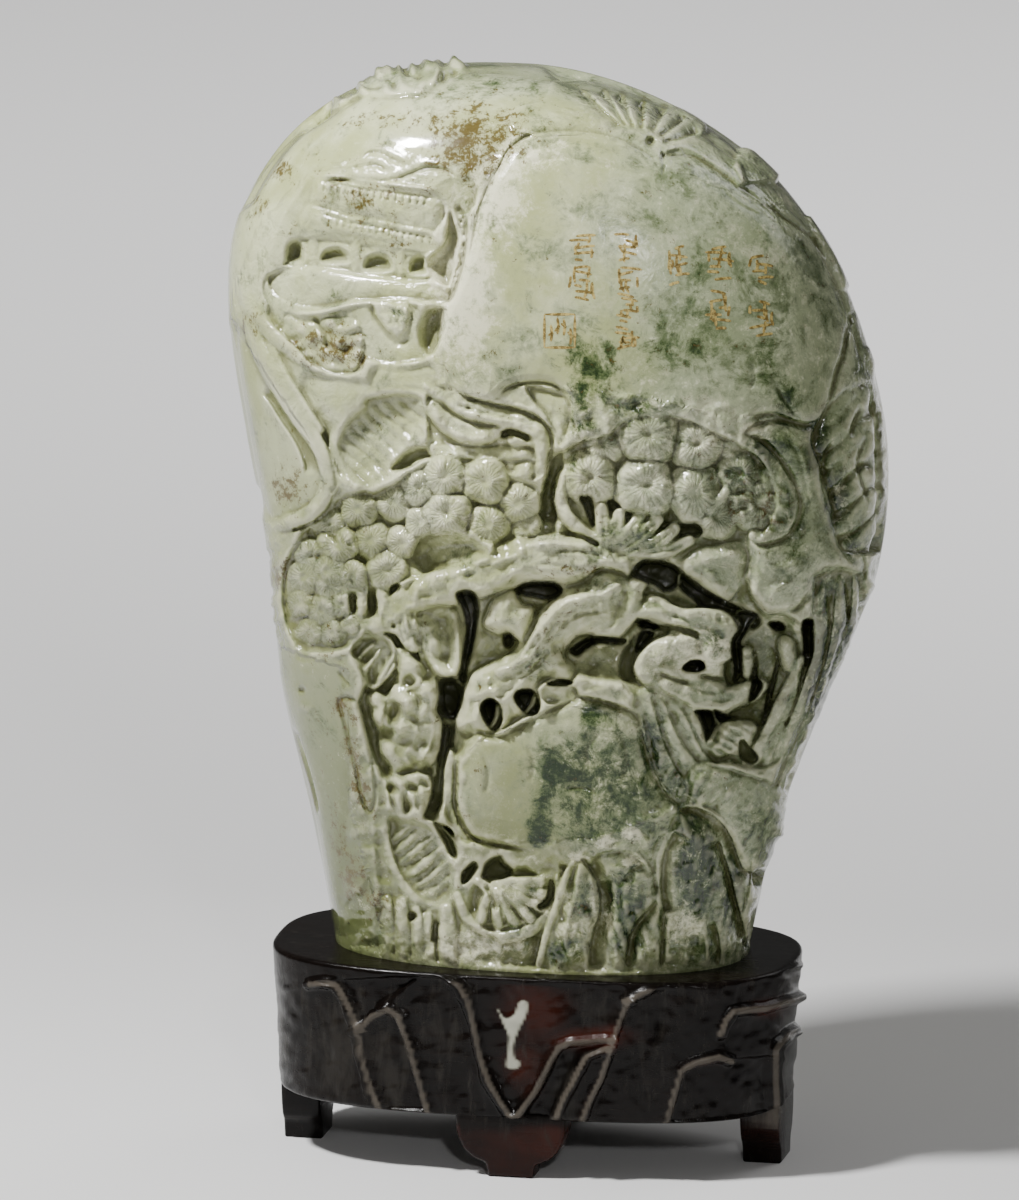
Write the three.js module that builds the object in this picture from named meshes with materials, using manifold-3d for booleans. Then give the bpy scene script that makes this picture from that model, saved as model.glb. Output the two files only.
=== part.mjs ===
// A carved jade boulder standing in the seat of its own low hardwood stand.
// Millimetres, +Z up, the inscribed face towards -Y, the origin under the middle of the whole object.

import * as THREE from "three";
import { mergeVertices } from "three/addons/utils/BufferGeometryUtils.js";
import Module from "manifold-3d";

// Driving dimensions.
const stoneHeight = 230; // from the stand's top plane to the crown, and the measure of every carved form
const seatDepth = 5; // how far the stone's foot sits down in the stand
const seatClearance = 0.35; // free gap all round the stone's foot and under it
const standBodyHeight = 37; // from the stand's top plane to the lower edge of its carved body
const footHeight = 15.5; // from that lower edge to the table
const sideRim = 17.5; // stand beyond the stone's foot, at each end
const frontRim = 9; // stand beyond the stone's foot, at the front and the back
const standShift = 1.3; // how far the stand's middle lies left of the middle of the stone's foot
const standTaper = 0.03; // share by which the stand's body narrows down to its lower edge
const ribDepth = 2.2; // how far the stand's rock ribs stand out of its side
const footWidth = 29; // where a foot leaves the body
const endFootShare = 0.7; // width of an end foot, as a share of a front or back foot
const footPadWidth = 11.5;
const footPadHeight = 3.4;
const footThickness = 10;
const footInset = 0.8; // how far a foot stands back from the body's side

// Carved forms are laid out in thousandths of the stone's height, as seen from the front:
// u runs to the viewer's right of the stone's axis, v runs up from the stand's top plane.
const unit = stoneHeight / 1000;
const viewTurn = THREE.MathUtils.degToRad(12); // the carved face is read from a little to the right
const viewRise = THREE.MathUtils.degToRad(14); // and from a little above
const right = new THREE.Vector3(Math.cos(viewTurn), Math.sin(viewTurn), 0);
const toViewer = new THREE.Vector3(
  Math.sin(viewTurn) * Math.cos(viewRise),
  -Math.cos(viewTurn) * Math.cos(viewRise),
  Math.sin(viewRise),
);
const upward = new THREE.Vector3().crossVectors(toViewer, right);
const frontView = { right, upward, toViewer };
const backView = {
  right: new THREE.Vector3(-1, 0, 0),
  upward: new THREE.Vector3(0, 0, 1),
  toViewer: new THREE.Vector3(0, 1, 0),
};

// The pebble's half widths at even steps of a quarter turn from its foot to its crown.
const crown = 986;
const pebble = {
  right: [222, 257, 312, 370, 382, 358, 316, 257, 175, 84, 0],
  left: [228, 258, 292, 306, 330, 346, 338, 294, 224, 128, 0],
  front: [125, 148, 170, 186, 192, 190, 182, 165, 135, 82, 0],
  back: [125, 145, 160, 170, 175, 172, 165, 148, 120, 75, 0],
};
const crownLean = -50;
const roundness = 2.3; // of each level section: 2 is an ellipse, more is squarer
const pebbleColumns = 46;
const pebbleRows = 39;
const crowding = 0.48; // how much closer the columns stand on the carved face than round the back
const ringSpread = 0.3; // how much the rings draw together at the foot and the crown

// Carved limbs and tufts, in thousandths or as shares of their own radius.
const treeGround = 42; // the ground behind the pines
const tuftRoot = 12; // how far a tuft goes into its ground
const limbSink = 0.4;
const bluntRings = 1.5; // how many rings of a limb its rounded end takes
const strokeTip = 0.35; // width of a stroke's ends

const wasm = await Module();
wasm.setup();
const { Manifold, Mesh } = wasm;

function solidOf(geometry) {
  const bare = geometry.clone();
  bare.deleteAttribute("normal");
  bare.deleteAttribute("uv");
  const merged = mergeVertices(bare, 1e-4);
  return new Manifold(
    new Mesh({
      numProp: 3,
      vertProperties: new Float32Array(merged.attributes.position.array),
      triVerts: new Uint32Array(merged.index.array),
    }),
  );
}

function geometryOf(solid) {
  const mesh = solid.getMesh();
  return new THREE.BufferGeometry()
    .setAttribute("position", new THREE.BufferAttribute(mesh.vertProperties, mesh.numProp))
    .setIndex(new THREE.BufferAttribute(mesh.triVerts, 1));
}

const join = (solids) => solids.reduce((whole, one) => whole.add(one));

// A smooth run through evenly spaced values.
function through(values, share) {
  const last = values.length - 1;
  const place = THREE.MathUtils.clamp(share, 0, 1) * last;
  const i = Math.min(Math.floor(place), last - 1);
  const f = place - i;
  const at = (j) => {
    if (j < 0) return 2 * values[0] - values[1];
    return j > last ? 2 * values[last] - values[last - 1] : values[j];
  };
  const [a, b, c, d] = [at(i - 1), at(i), at(i + 1), at(i + 2)];
  return 0.5 * (2 * b + (c - a) * f + (2 * a - 5 * b + 4 * c - d) * f * f + (3 * b - a - 3 * c + d) * f ** 3);
}

const superEllipse = (cos, sin, power) => (Math.abs(cos) ** power + Math.abs(sin) ** power) ** (-1 / power);

// A point of the pebble's skin: angle 0 is +X and a quarter turn is the back, rise 0 is the foot and 1
// the crown.
function skinPoint(angle, rise) {
  const cos = Math.cos(angle);
  const sin = Math.sin(angle);
  const across = through(cos > 0 ? pebble.right : pebble.left, rise) * unit;
  const deep = through(sin > 0 ? pebble.back : pebble.front, rise) * unit;
  const reach = superEllipse(cos, sin, roundness);
  const lean = crownLean * unit * rise ** 4;
  const z = -seatDepth + (crown * unit + seatDepth) * Math.sin((rise * Math.PI) / 2);
  return new THREE.Vector3(lean + across * cos * reach, deep * sin * reach, z);
}

function skinNormal(angle, rise) {
  const step = 1e-3;
  const low = Math.min(rise, 1 - 2 * step);
  const round = skinPoint(angle + step, low).sub(skinPoint(angle - step, low));
  const up = skinPoint(angle, low + step).sub(skinPoint(angle, low - step));
  return round.cross(up).normalize();
}

const columnAngle = (column) => {
  const turn = (column / pebbleColumns) * 2 * Math.PI;
  return Math.PI / 2 + turn + crowding * Math.sin(turn);
};

// The pebble as a closed mesh, each point of its skin sunk by the carving there.
function carvedPebble() {
  const ball = new THREE.SphereGeometry(1, pebbleColumns, pebbleRows);
  const place = ball.attributes.position;
  const point = new THREE.Vector3();
  for (let i = 0; i < place.count; i++) {
    const row = Math.floor(i / (pebbleColumns + 1));
    const angle = columnAngle((i % (pebbleColumns + 1)) % pebbleColumns);
    if (row === 0) {
      point.set(crownLean * unit, 0, crown * unit);
    } else if (row === pebbleRows) {
      point.set(0, 0, -seatDepth);
    } else {
      const share = 1 - row / (pebbleRows - 1);
      const rise = share - (ringSpread / Math.PI) * Math.sin(Math.PI * share);
      const skin = skinPoint(angle, rise);
      const normal = skinNormal(angle, rise);
      point.copy(skin).addScaledVector(sinkAlong(normal), -carvedLevel(skin, normal) * unit);
      if (row === pebbleRows - 1) point.z = -seatDepth;
    }
    place.setXYZ(i, point.x, point.y, point.z);
  }
  return solidOf(ball);
}

// Carving sinks along the line of sight on the face, and along the skin's normal where the face turns away.
function sinkAlong(normal) {
  const facingShare = THREE.MathUtils.smoothstep(normal.dot(toViewer), 0.1, 0.5);
  return normal.clone().lerp(toViewer, facingShare).normalize();
}

// How deep the carving goes at a point of the skin, in thousandths: each mark in turn sets the level or
// adds to it.
function carvedLevel(skin, normal) {
  const front = normal.dot(toViewer) > 0;
  const view = front ? frontView : backView;
  const u = skin.dot(view.right) / unit;
  const v = skin.dot(view.upward) / unit;
  let level = 0;
  for (const { outline, to, by, soft = 16 } of front ? frontMarks : backMarks) {
    const cover = THREE.MathUtils.smoothstep(-signedDistance(outline, u, v), -soft / 2, soft / 2);
    level += (to === undefined ? by : to - level) * cover;
  }
  return level;
}

// Distance to a closed outline, negative inside it.
function signedDistance(outline, u, v) {
  let nearest = Infinity;
  let within = false;
  outline.forEach(([ua, va], i) => {
    const [ub, vb] = outline[(i + 1) % outline.length];
    const [eu, ev] = [ub - ua, vb - va];
    const along = THREE.MathUtils.clamp(((u - ua) * eu + (v - va) * ev) / (eu * eu + ev * ev), 0, 1);
    nearest = Math.min(nearest, Math.hypot(u - ua - eu * along, v - va - ev * along));
    if (va > v !== vb > v && u < ua + (eu * (v - va)) / ev) within = !within;
  });
  return within ? -nearest : nearest;
}

// A straight shaft along the line of sight, with its floor so far under the skin at its middle.
function shaft(outline, level) {
  const [u, v] = outline.reduce(([a, b], [x, y]) => [a + x / outline.length, b + y / outline.length], [0, 0]);
  const floor = sighted(u, v, level).dot(toViewer);
  const shape = new THREE.Shape(outline.map(([x, y]) => new THREE.Vector2(x * unit, y * unit)));
  const geometry = new THREE.ExtrudeGeometry(shape, { depth: stoneHeight, bevelEnabled: false, steps: 1 });
  geometry.translate(0, 0, floor);
  geometry.applyMatrix4(new THREE.Matrix4().makeBasis(right, upward, toViewer));
  return solidOf(geometry);
}

// Outlines: rounded through its points, an oval, and a stroke of even width along a line.
function rounded(points, count = points.length * 2) {
  const curve = new THREE.SplineCurve([...points, points[0]].map(([u, v]) => new THREE.Vector2(u, v)));
  return curve.getPoints(count).slice(0, -1).map((p) => [p.x, p.y]);
}

function oval([u, v], [ru, rv], tilt = 0, sides = 14) {
  return Array.from({ length: sides }, (_, i) => {
    const turn = (i / sides) * 2 * Math.PI;
    const [x, y] = [ru * Math.cos(turn), rv * Math.sin(turn)];
    return [u + x * Math.cos(tilt) - y * Math.sin(tilt), v + x * Math.sin(tilt) + y * Math.cos(tilt)];
  });
}

function stroke(points, width) {
  const line = points.map(([u, v]) => new THREE.Vector2(u, v));
  const side = (sign) =>
    line.map((p, i) => {
      const along = line[Math.min(i + 1, line.length - 1)].clone().sub(line[Math.max(i - 1, 0)]).normalize();
      const end = i === 0 || i === line.length - 1 ? strokeTip : 1;
      return [p.x - (sign * along.y * width * end) / 2, p.y + (sign * along.x * width * end) / 2];
    });
  return [...side(-1), ...side(1).reverse()];
}

// Where the line of sight through (u, v) meets the skin, and the skin's normal there.
function inside(p) {
  const sine = (p.z + seatDepth) / (crown * unit + seatDepth);
  if (sine >= 1) return false;
  const rise = (Math.asin(Math.max(sine, 0)) * 2) / Math.PI;
  const x = p.x - crownLean * unit * rise ** 4;
  const across = through(x > 0 ? pebble.right : pebble.left, rise) * unit;
  const deep = through(p.y > 0 ? pebble.back : pebble.front, rise) * unit;
  return (Math.abs(x) / across) ** roundness + (Math.abs(p.y) / deep) ** roundness < 1;
}

function sighted(u, v, level = 0, view = frontView) {
  const at = (depth) =>
    new THREE.Vector3()
      .addScaledVector(view.right, u * unit)
      .addScaledVector(view.upward, v * unit)
      .addScaledVector(view.toViewer, depth * unit);
  let out = 420;
  let within = -60;
  for (let i = 0; i < 30; i++) {
    const middle = (out + within) / 2;
    if (inside(at(middle))) within = middle;
    else out = middle;
  }
  return at(within - level);
}

function facing(u, v, view = frontView) {
  const step = 6;
  const across = sighted(u + step, v, 0, view).sub(sighted(u - step, v, 0, view));
  const up = sighted(u, v + step, 0, view).sub(sighted(u, v - step, 0, view));
  return across.cross(up).normalize();
}

// A cushion of pine needles: an egg from its own level under the skin down into the ground behind it.
function tuft([u, v, radius], level, ground, view = frontView) {
  const ball = new THREE.SphereGeometry(1, 7, 4);
  const half = (ground + tuftRoot - level) / 2;
  ball.scale(radius * unit, radius * unit, half * unit);
  const turn = new THREE.Quaternion().setFromUnitVectors(new THREE.Vector3(0, 0, 1), facing(u, v, view));
  ball.applyQuaternion(turn);
  const centre = sighted(u, v, level + half, view);
  ball.translate(centre.x, centre.y, centre.z);
  return solidOf(ball);
}

// A limb along a line of [u, v, radius, level], closed by rounded ends.
function limb(line, rings = line.length + 3, sides = 6) {
  const centres = line.map(([u, v, r, level]) => sighted(u, v, level + r * limbSink));
  const path = new THREE.CatmullRomCurve3(centres);
  const radii = line.map((p) => p[2] * unit);
  const frames = path.computeFrenetFrames(rings, false);
  const ball = new THREE.SphereGeometry(1, sides, rings);
  const place = ball.attributes.position;
  const point = new THREE.Vector3();
  for (let i = 0; i < place.count; i++) {
    const row = Math.floor(i / (sides + 1));
    const share = row / rings;
    const turn = ((i % (sides + 1)) / sides) * 2 * Math.PI;
    const end = Math.min(share, 1 - share) * rings;
    const blunt = end >= bluntRings ? 1 : Math.sqrt(Math.max(0, 1 - (1 - end / bluntRings) ** 2));
    const reach = row === 0 || row === rings ? 0 : through(radii, share) * blunt;
    point.copy(path.getPoint(share));
    point.addScaledVector(frames.normals[row], Math.cos(turn) * reach);
    point.addScaledVector(frames.binormals[row], Math.sin(turn) * reach);
    place.setXYZ(i, point.x, point.y, point.z);
  }
  const solid = solidOf(ball);
  return solid.volume() > 0 ? solid : solidOf(turnedOut(ball));
}

function turnedOut(geometry) {
  const index = geometry.index.array;
  for (let i = 0; i < index.length; i += 3) [index[i], index[i + 1]] = [index[i + 1], index[i]];
  return geometry;
}

// The marks of the carved face, broad fields first.
const inscribedSlab = [
  [-120, 650], [-112, 690], [-98, 720], [-82, 760], [-74, 800], [-60, 835], [-40, 865], [0, 893], [40, 894],
  [75, 887], [110, 870], [150, 866], [200, 838], [255, 798], [290, 775], [315, 725], [345, 660], [345, 605],
  [312, 580], [280, 569], [240, 579], [208, 562], [150, 590], [80, 592], [45, 560], [10, 535], [-5, 558],
  [-30, 578], [-60, 587], [-98, 600], [-116, 630],
];
const sideSlab = rounded([
  [226, 430], [222, 400], [232, 372], [275, 365], [302, 388], [330, 402], [312, 470], [285, 548], [248, 556],
  [236, 500],
]);
const outcrop = [
  [-275, 888], [-236, 940], [-205, 965], [-168, 980], [-135, 995], [-90, 990], [-84, 962], [-120, 942],
  [-132, 929], [-205, 925], [-232, 908],
];
const valley = rounded([
  [-270, 846], [-190, 872], [-97, 850], [-66, 822], [-82, 790], [-104, 745], [-118, 690], [-118, 640],
  [-100, 604], [-190, 606], [-262, 628], [-296, 690], [-306, 745], [-296, 800],
]);
const besideLobe = rounded([
  [-262, 622], [-190, 606], [-118, 606], [-112, 560], [-150, 520], [-215, 498], [-240, 487], [-250, 545],
  [-284, 608],
]);
const treeField = rounded([
  [-228, 495], [-170, 512], [-140, 528], [-95, 535], [-50, 530], [0, 535], [16, 515], [14, 480], [40, 445],
  [70, 432], [130, 440], [175, 440], [222, 432], [222, 385], [235, 358], [300, 352], [275, 262], [235, 235],
  [185, 228], [120, 248], [60, 272], [0, 258], [-40, 238], [-80, 232], [-98, 198], [-108, 150], [-92, 118],
  [-112, 90], [-150, 118], [-172, 135], [-188, 180], [-205, 262], [-212, 330], [-168, 345], [-205, 368],
  [-240, 395], [-268, 440],
]);
const footField = rounded([
  [-205, 130], [-170, 150], [-120, 140], [-90, 118], [-20, 103], [10, 85], [24, 50], [8, 0], [0, -70],
  [-110, -75], [-205, -50], [-212, 40],
]);
const strandField = rounded([
  [240, 345], [300, 352], [348, 372], [340, 310], [300, 230], [262, 150], [244, 160], [240, 240],
]);
const edgeFoliage = rounded([
  [302, 450], [345, 446], [378, 480], [392, 560], [376, 612], [345, 610], [322, 570], [306, 520],
]);
const fields = [
  { outline: inscribedSlab, to: -5 },
  { outline: sideSlab, to: -4 },
  { outline: outcrop, to: -8 },
  { outline: valley, to: 24 },
  { outline: besideLobe, to: 16 },
  { outline: treeField, to: treeGround, soft: 22 },
  { outline: footField, to: 20 },
  { outline: strandField, to: 20 },
  { outline: edgeFoliage, to: 14 },
];

// The pavilion under the cliff, with its two roofs, and the terraces below it.
const wall = [[-276, 774], [-200, 770], [-128, 760], [-120, 728], [-200, 726], [-280, 736]];
const lowerRoof = [[-262, 804], [-180, 787], [-115, 775], [-128, 757], [-165, 757], [-200, 767], [-276, 772]];
const upperRoof = [[-252, 838], [-200, 826], [-122, 820], [-104, 803], [-112, 776], [-180, 787], [-256, 806]];
const ridge = [[-250, 838], [-230, 850], [-188, 872], [-142, 854], [-100, 846], [-122, 820], [-200, 826]];
const pavilion = [
  { outline: wall, to: 22 },
  { outline: lowerRoof, to: 12 },
  { outline: upperRoof, to: 7 },
  { outline: ridge, to: 2 },
];
const courtyard = [
  [-316, 742], [-255, 724], [-195, 716], [-135, 722], [-126, 690], [-190, 684], [-235, 702], [-290, 700],
];
const terraces = [
  { outline: courtyard, to: 8 },
  { outline: rounded([[-286, 690], [-205, 692], [-196, 664], [-204, 626], [-248, 620], [-284, 640]]), to: 3 },
  { outline: [[-192, 702], [-148, 704], [-138, 690], [-160, 656], [-176, 668]], to: 9 },
];
const shells = [
  { outline: oval([-175, 552], [52, 52]), to: 48, soft: 22 },
  { outline: oval([-138, 88], [36, 52], -0.2), to: 48, soft: 20 },
  { outline: oval([-42, 52], [50, 37]), to: 46, soft: 20 },
];
const gnarledTree = [
  {
    outline: rounded([
      [-163, 328], [-135, 312], [-117, 282], [-112, 225], [-125, 195], [-152, 186], [-178, 200], [-197, 272],
      [-182, 300],
    ]),
    to: 10,
  },
  { outline: stroke([[-158, 200], [-160, 165], [-156, 134]], 26), to: 12 },
  { outline: stroke([[-130, 200], [-132, 165], [-136, 136]], 26), to: 14 },
];
const strands = [0, 1, 2].map((i) => {
  const line = [[262 + i * 24, 372 - i * 4], [258 + i * 20, 300], [236 + i * 16, 236 - i * 10]];
  return { outline: stroke(line, 18), to: 4 };
});
const peak = [
  { outline: [[35, 96], [52, 84], [64, 60], [78, 20], [74, -70], [-8, -70], [0, 12], [16, 52]], to: -6 },
];

// Grooves that part the lower rocks, the folds on the left, and the pleats that fan out under the crown.
const grooves = [
  { outline: stroke([[155, 152], [190, 132], [208, 96], [238, 76]], 14), by: 16 },
  { outline: stroke([[188, 112], [203, 65], [222, 18]], 12), by: 14 },
  { outline: stroke([[122, 112], [132, 60], [128, -70]], 18), by: 14 },
  { outline: stroke([[-300, 632], [-270, 585], [-238, 520]], 14), by: 8 },
  { outline: stroke([[-225, 300], [-208, 262], [-198, 210], [-186, 158]], 14), by: 10 },
];
const fan = { apex: [115, 878], from: [14, 8], out: [78, 54], start: 48, step: 26, folds: 5 };
const pleats = Array.from({ length: fan.folds }, (_, i) => {
  const turn = THREE.MathUtils.degToRad(fan.start + i * fan.step);
  const end = ([ru, rv]) => [fan.apex[0] + ru * Math.cos(turn), fan.apex[1] + rv * Math.sin(turn)];
  return { outline: stroke([end(fan.from), end(fan.out)], 12), by: 7 };
});
const frontMarks = [
  ...fields, ...pavilion, ...terraces, ...shells, ...gnarledTree, ...strands, ...peak, ...grooves, ...pleats,
];

// The back is plainer: one broad face with a stepped edge, a terrace, a gully and a cleft.
const backMarks = [
  {
    outline: rounded([
      [-250, 620], [-190, 800], [-40, 880], [120, 850], [230, 720], [250, 560], [120, 500], [-60, 530],
      [-180, 500],
    ]),
    to: -5,
  },
  {
    outline: rounded([
      [-270, 300], [-150, 350], [20, 300], [190, 340], [270, 260], [220, 140], [40, 170], [-120, 110],
      [-230, 160],
    ]),
    to: -4,
  },
  {
    outline: stroke([[-300, 470], [-170, 455], [-60, 490], [80, 450], [200, 470], [320, 430]], 46),
    to: 16,
    soft: 20,
  },
  { outline: stroke([[60, 420], [40, 340], [70, 240], [50, 120], [60, -60]], 34), to: 14, soft: 20 },
];

// Tufts of the two pines: place and radius.
const leftTufts = [
  [-110, 510, 22], [-137, 500, 18], [-65, 503, 23], [-107, 467, 25], [-135, 460, 13], [-62, 458, 21],
  [-32, 478, 21], [-163, 485, 20], [-203, 478, 22], [-232, 462, 14], [-190, 442, 18], [-155, 438, 16],
  [-170, 408, 18], [-225, 430, 24], [-260, 405, 20], [-215, 400, 18],
];
const rightTufts = [
  [112, 557, 33], [165, 547, 29], [110, 500, 33], [163, 492, 31], [48, 510, 31], [62, 545, 23],
  [212, 515, 24], [233, 478, 33], [188, 470, 26], [205, 542, 17],
];

function branches() {
  const bough = limb([
    [-160, 372, 17, 12], [-120, 392, 19, 8], [-60, 410, 19, 8], [-10, 425, 20, 6], [60, 422, 22, 6],
  ]);
  const places = [-198, -177, -150];
  const stems = places.map((u) => limb([[u, 392, 7, 14], [u + 2, 366, 7, 16], [u - 2, 338, 8, 20]]));
  const hanging = limb([[-150, 378, 13, 14], [-156, 352, 14, 16], [-146, 325, 15, 22]]);
  return [bough, hanging, ...stems];
}

function trunk() {
  const bole = limb(
    [
      [-96, 222, 22, 26], [-60, 270, 26, 16], [-20, 302, 27, 12], [22, 342, 28, 10], [48, 378, 26, 8],
      [70, 424, 26, 4],
    ],
    9,
    7,
  );
  const knob = limb([[-20, 322, 14, 14], [-42, 350, 13, 12], [-52, 372, 9, 16]]);
  const thumb = limb([[98, 392, 13, 0], [92, 368, 13, 0], [72, 340, 12, 4]]);
  const shoulder = limb([[60, 262, 20, 22], [105, 300, 24, 18], [130, 340, 20, 14], [112, 372, 18, 10]]);
  return [bole, knob, thumb, shoulder];
}

// The knotted scroll of branches to the right of the trunk.
function scroll() {
  const arm = limb([[96, 372, 12, 6], [135, 368, 13, 4], [165, 355, 13, 4], [212, 345, 12, 10]]);
  const loop = limb([
    [178, 334, 11, 10], [140, 328, 13, 6], [106, 303, 14, 4], [140, 280, 14, 6], [190, 276, 13, 8],
    [236, 285, 10, 16],
  ]);
  const ruffle = limb([[128, 258, 13, 12], [170, 240, 13, 12], [214, 222, 14, 12], [246, 196, 12, 10]]);
  return [arm, loop, ruffle];
}

// The fluted edge beside the lower shell.
function footPleats() {
  const [first, apart] = [-170, 34];
  return [0, 1, 2].map((i) => {
    const u = first + i * apart;
    return limb([[u, 44, 14, 6], [u - 2, 4, 15, 2], [u - 4, -46, 14, 4]], 4);
  });
}

// Pits driven right into the stone behind the branches.
function pits() {
  const recess = [
    [-135, 345], [-125, 374], [-63, 374], [-80, 330], [-88, 262], [-116, 150], [-132, 150], [-122, 230],
    [-106, 290], [-128, 312],
  ];
  const dark = [
    shaft([[-142, 428], [-118, 447], [-75, 445], [-58, 428], [-75, 408], [-120, 405]], 84),
    shaft(recess, 100),
    shaft(stroke([[140, 395], [170, 380], [200, 370], [232, 345]], 24), 84),
    shaft([[146, 254], [180, 258], [186, 240], [172, 213]], 78),
    shaft([[204, 368], [240, 362], [236, 322], [206, 326]], 88),
    shaft(stroke([[-104, 801], [-96, 775], [-108, 740]], 22), 46),
  ];
  const holes = [[122, 405, 28, 15], [-7, 386, 25, 11], [-60, 252, 11, 14], [-52, 80, 18, 11]];
  const arches = [[-271, 756, 9, 13], [-230, 757, 14, 10], [-183, 748, 14, 10], [-138, 745, 10, 11]];
  return [
    ...dark,
    ...holes.map(([u, v, ru, rv]) => shaft(oval([u, v], [ru, rv], 0, 6), 80)),
    ...arches.map(([u, v, ru, rv]) => shaft(oval([u, v], [ru, rv], 0, 5), 48)),
  ];
}

// Curled ropes of cloud between the slab and the left pine.
function clouds() {
  return [
    limb([[-122, 606, 11, 4], [-90, 580, 12, 0], [-30, 571, 12, 0], [-4, 545, 10, 2]]),
    limb([[-116, 572, 9, 6], [-84, 554, 10, 2], [-40, 560, 10, 2], [-14, 532, 9, 6]]),
    limb([[-52, 597, 9, 4], [-20, 611, 10, 2], [22, 596, 9, 4]]),
  ];
}

const backTufts = [[-120, 420, 30], [-75, 445, 28], [-30, 415, 30], [-78, 395, 28], [-160, 395, 26]];

function boulder() {
  const tufts = [
    ...leftTufts.map((t) => tuft(t, 4, treeGround)),
    ...rightTufts.map((t) => tuft(t, -9, 10)),
    ...backTufts.map((t) => tuft(t, -2, 20, backView)),
  ];
  const carved = [...tufts, ...branches(), ...trunk(), ...scroll(), ...footPleats(), ...clouds()];
  const stone = carvedPebble().subtract(join(pits())).add(join(carved)).subtract(besideFoot());
  return stone.decompose().sort((a, b) => b.volume() - a.volume())[0];
}

// The outline of the stone's foot where it leaves the stand, grown by a gap, between two heights.
function footPlug(gap, low, high) {
  const mouth = (2 / Math.PI) * Math.asin(seatDepth / (crown * unit + seatDepth));
  const outline = Array.from({ length: pebbleColumns }, (_, i) => {
    const angle = columnAngle(i);
    const p = skinPoint(angle, mouth).addScaledVector(skinNormal(angle, mouth), gap);
    return new THREE.Vector2(p.x, p.y);
  });
  const shape = new THREE.Shape(outline);
  const geometry = new THREE.ExtrudeGeometry(shape, { depth: high - low, bevelEnabled: false });
  geometry.translate(0, 0, low);
  return solidOf(geometry);
}

// What the carving must leave free: all round the foot as high as the rim, and under it.
function besideFoot() {
  const reach = stoneHeight * 2;
  const block = new THREE.BoxGeometry(reach, reach, reach);
  block.translate(0, 0, seatClearance - reach / 2);
  return solidOf(block).subtract(footPlug(0, -seatDepth, seatClearance + 1));
}

// The stand follows the outline of the stone's foot, wider by its rims.
const standCentre = new THREE.Vector2(((pebble.right[0] - pebble.left[0]) / 2) * unit - standShift, 0);
const standHalfWidth = ((pebble.right[0] + pebble.left[0]) / 2) * unit + sideRim;
const standHalfDepth = pebble.front[0] * unit + frontRim;
const standRoundness = 2.9;
const standColumns = 32;

// The stand's body, its side moved out by so much; it narrows a little towards the lower edge.
function standBody(out) {
  const rows = 4;
  const ball = new THREE.SphereGeometry(1, standColumns, rows);
  const place = ball.attributes.position;
  for (let i = 0; i < place.count; i++) {
    const row = Math.floor(i / (standColumns + 1));
    const turn = -((i % (standColumns + 1)) / standColumns) * 2 * Math.PI;
    const capped = row === 0 || row === rows;
    const down = THREE.MathUtils.clamp((row - 1) / (rows - 2), 0, 1);
    const reach = superEllipse(Math.cos(turn), Math.sin(turn), standRoundness);
    const waist = 1 - standTaper * down;
    const x = (standHalfWidth * waist - ribDepth + out) * Math.cos(turn) * reach;
    const y = (standHalfDepth * waist - ribDepth + out) * Math.sin(turn) * reach;
    const middle = capped ? 0 : 1;
    place.setXYZ(i, standCentre.x + x * middle, standCentre.y + y * middle, -standBodyHeight * down);
  }
  return solidOf(turnedOut(ball));
}

// Rock slabs cut in the stand's side, as [outline, share of the rib depth]: u as on the stone, and how far
// down the body from 0 at the rim to 1 at the lower edge.
const rimLine = [
  [-420, -0.3], [420, -0.3], [420, 0.1], [160, 0.14], [90, 0.08], [-20, 0.14], [-120, 0.08], [-420, 0.12],
];
const frontSlabs = [
  [rimLine, 0.75],
  [[[-420, 0], [-262, 0.05], [-236, 0.42], [-214, 0.7], [-200, 1.3], [-420, 1.3]], 0.6],
  [[[-212, 0.42], [-176, 0.3], [-150, 0.62], [-128, 1.3], [-196, 1.3]], 0.9],
  [[[-112, 0.02], [-82, 0.3], [-64, 0.75], [-36, 1.3], [-128, 1.3], [-148, 0.62], [-172, 0.1]], 1],
  [
    [[-30, 1.3], [0, 0.68], [14, 0.48], [66, 0.46], [84, 0.14], [140, 0], [128, 0.4], [96, 0.9], [82, 1.3]],
    1,
  ],
  [
    [
      [128, 1.3], [150, 0.62], [190, 0.55], [192, 0.36], [212, 0.22], [300, 0.14], [420, 0.1], [420, 0.42],
      [262, 0.5], [256, 1.3],
    ],
    0.85,
  ],
];
const backSlabs = [
  [rimLine, 0.75],
  [[[-420, 0.2], [-250, 0.1], [-222, 0.5], [-190, 1.3], [-420, 1.3]], 0.7],
  [[[-170, 0.15], [-110, 0.05], [-90, 0.6], [-60, 1.3], [-150, 1.3]], 1],
  [[[-20, 1.3], [20, 0.5], [90, 0.3], [120, 0.05], [170, 0.1], [150, 0.7], [110, 1.3]], 0.9],
  [[[190, 1.3], [215, 0.5], [260, 0.25], [420, 0.2], [420, 1.3]], 0.8],
];

function slabsOf(list, view) {
  return list.map(([outline, share]) => {
    const corners = outline.map(([u, down]) => new THREE.Vector2(u * unit, -down * standBodyHeight));
    const shape = new THREE.Shape(corners);
    const geometry = new THREE.ExtrudeGeometry(shape, { depth: stoneHeight, bevelEnabled: false });
    geometry.applyMatrix4(new THREE.Matrix4().makeBasis(view.right, backView.upward, view.level));
    return standBody(ribDepth * share).intersect(solidOf(geometry));
  });
}

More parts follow.
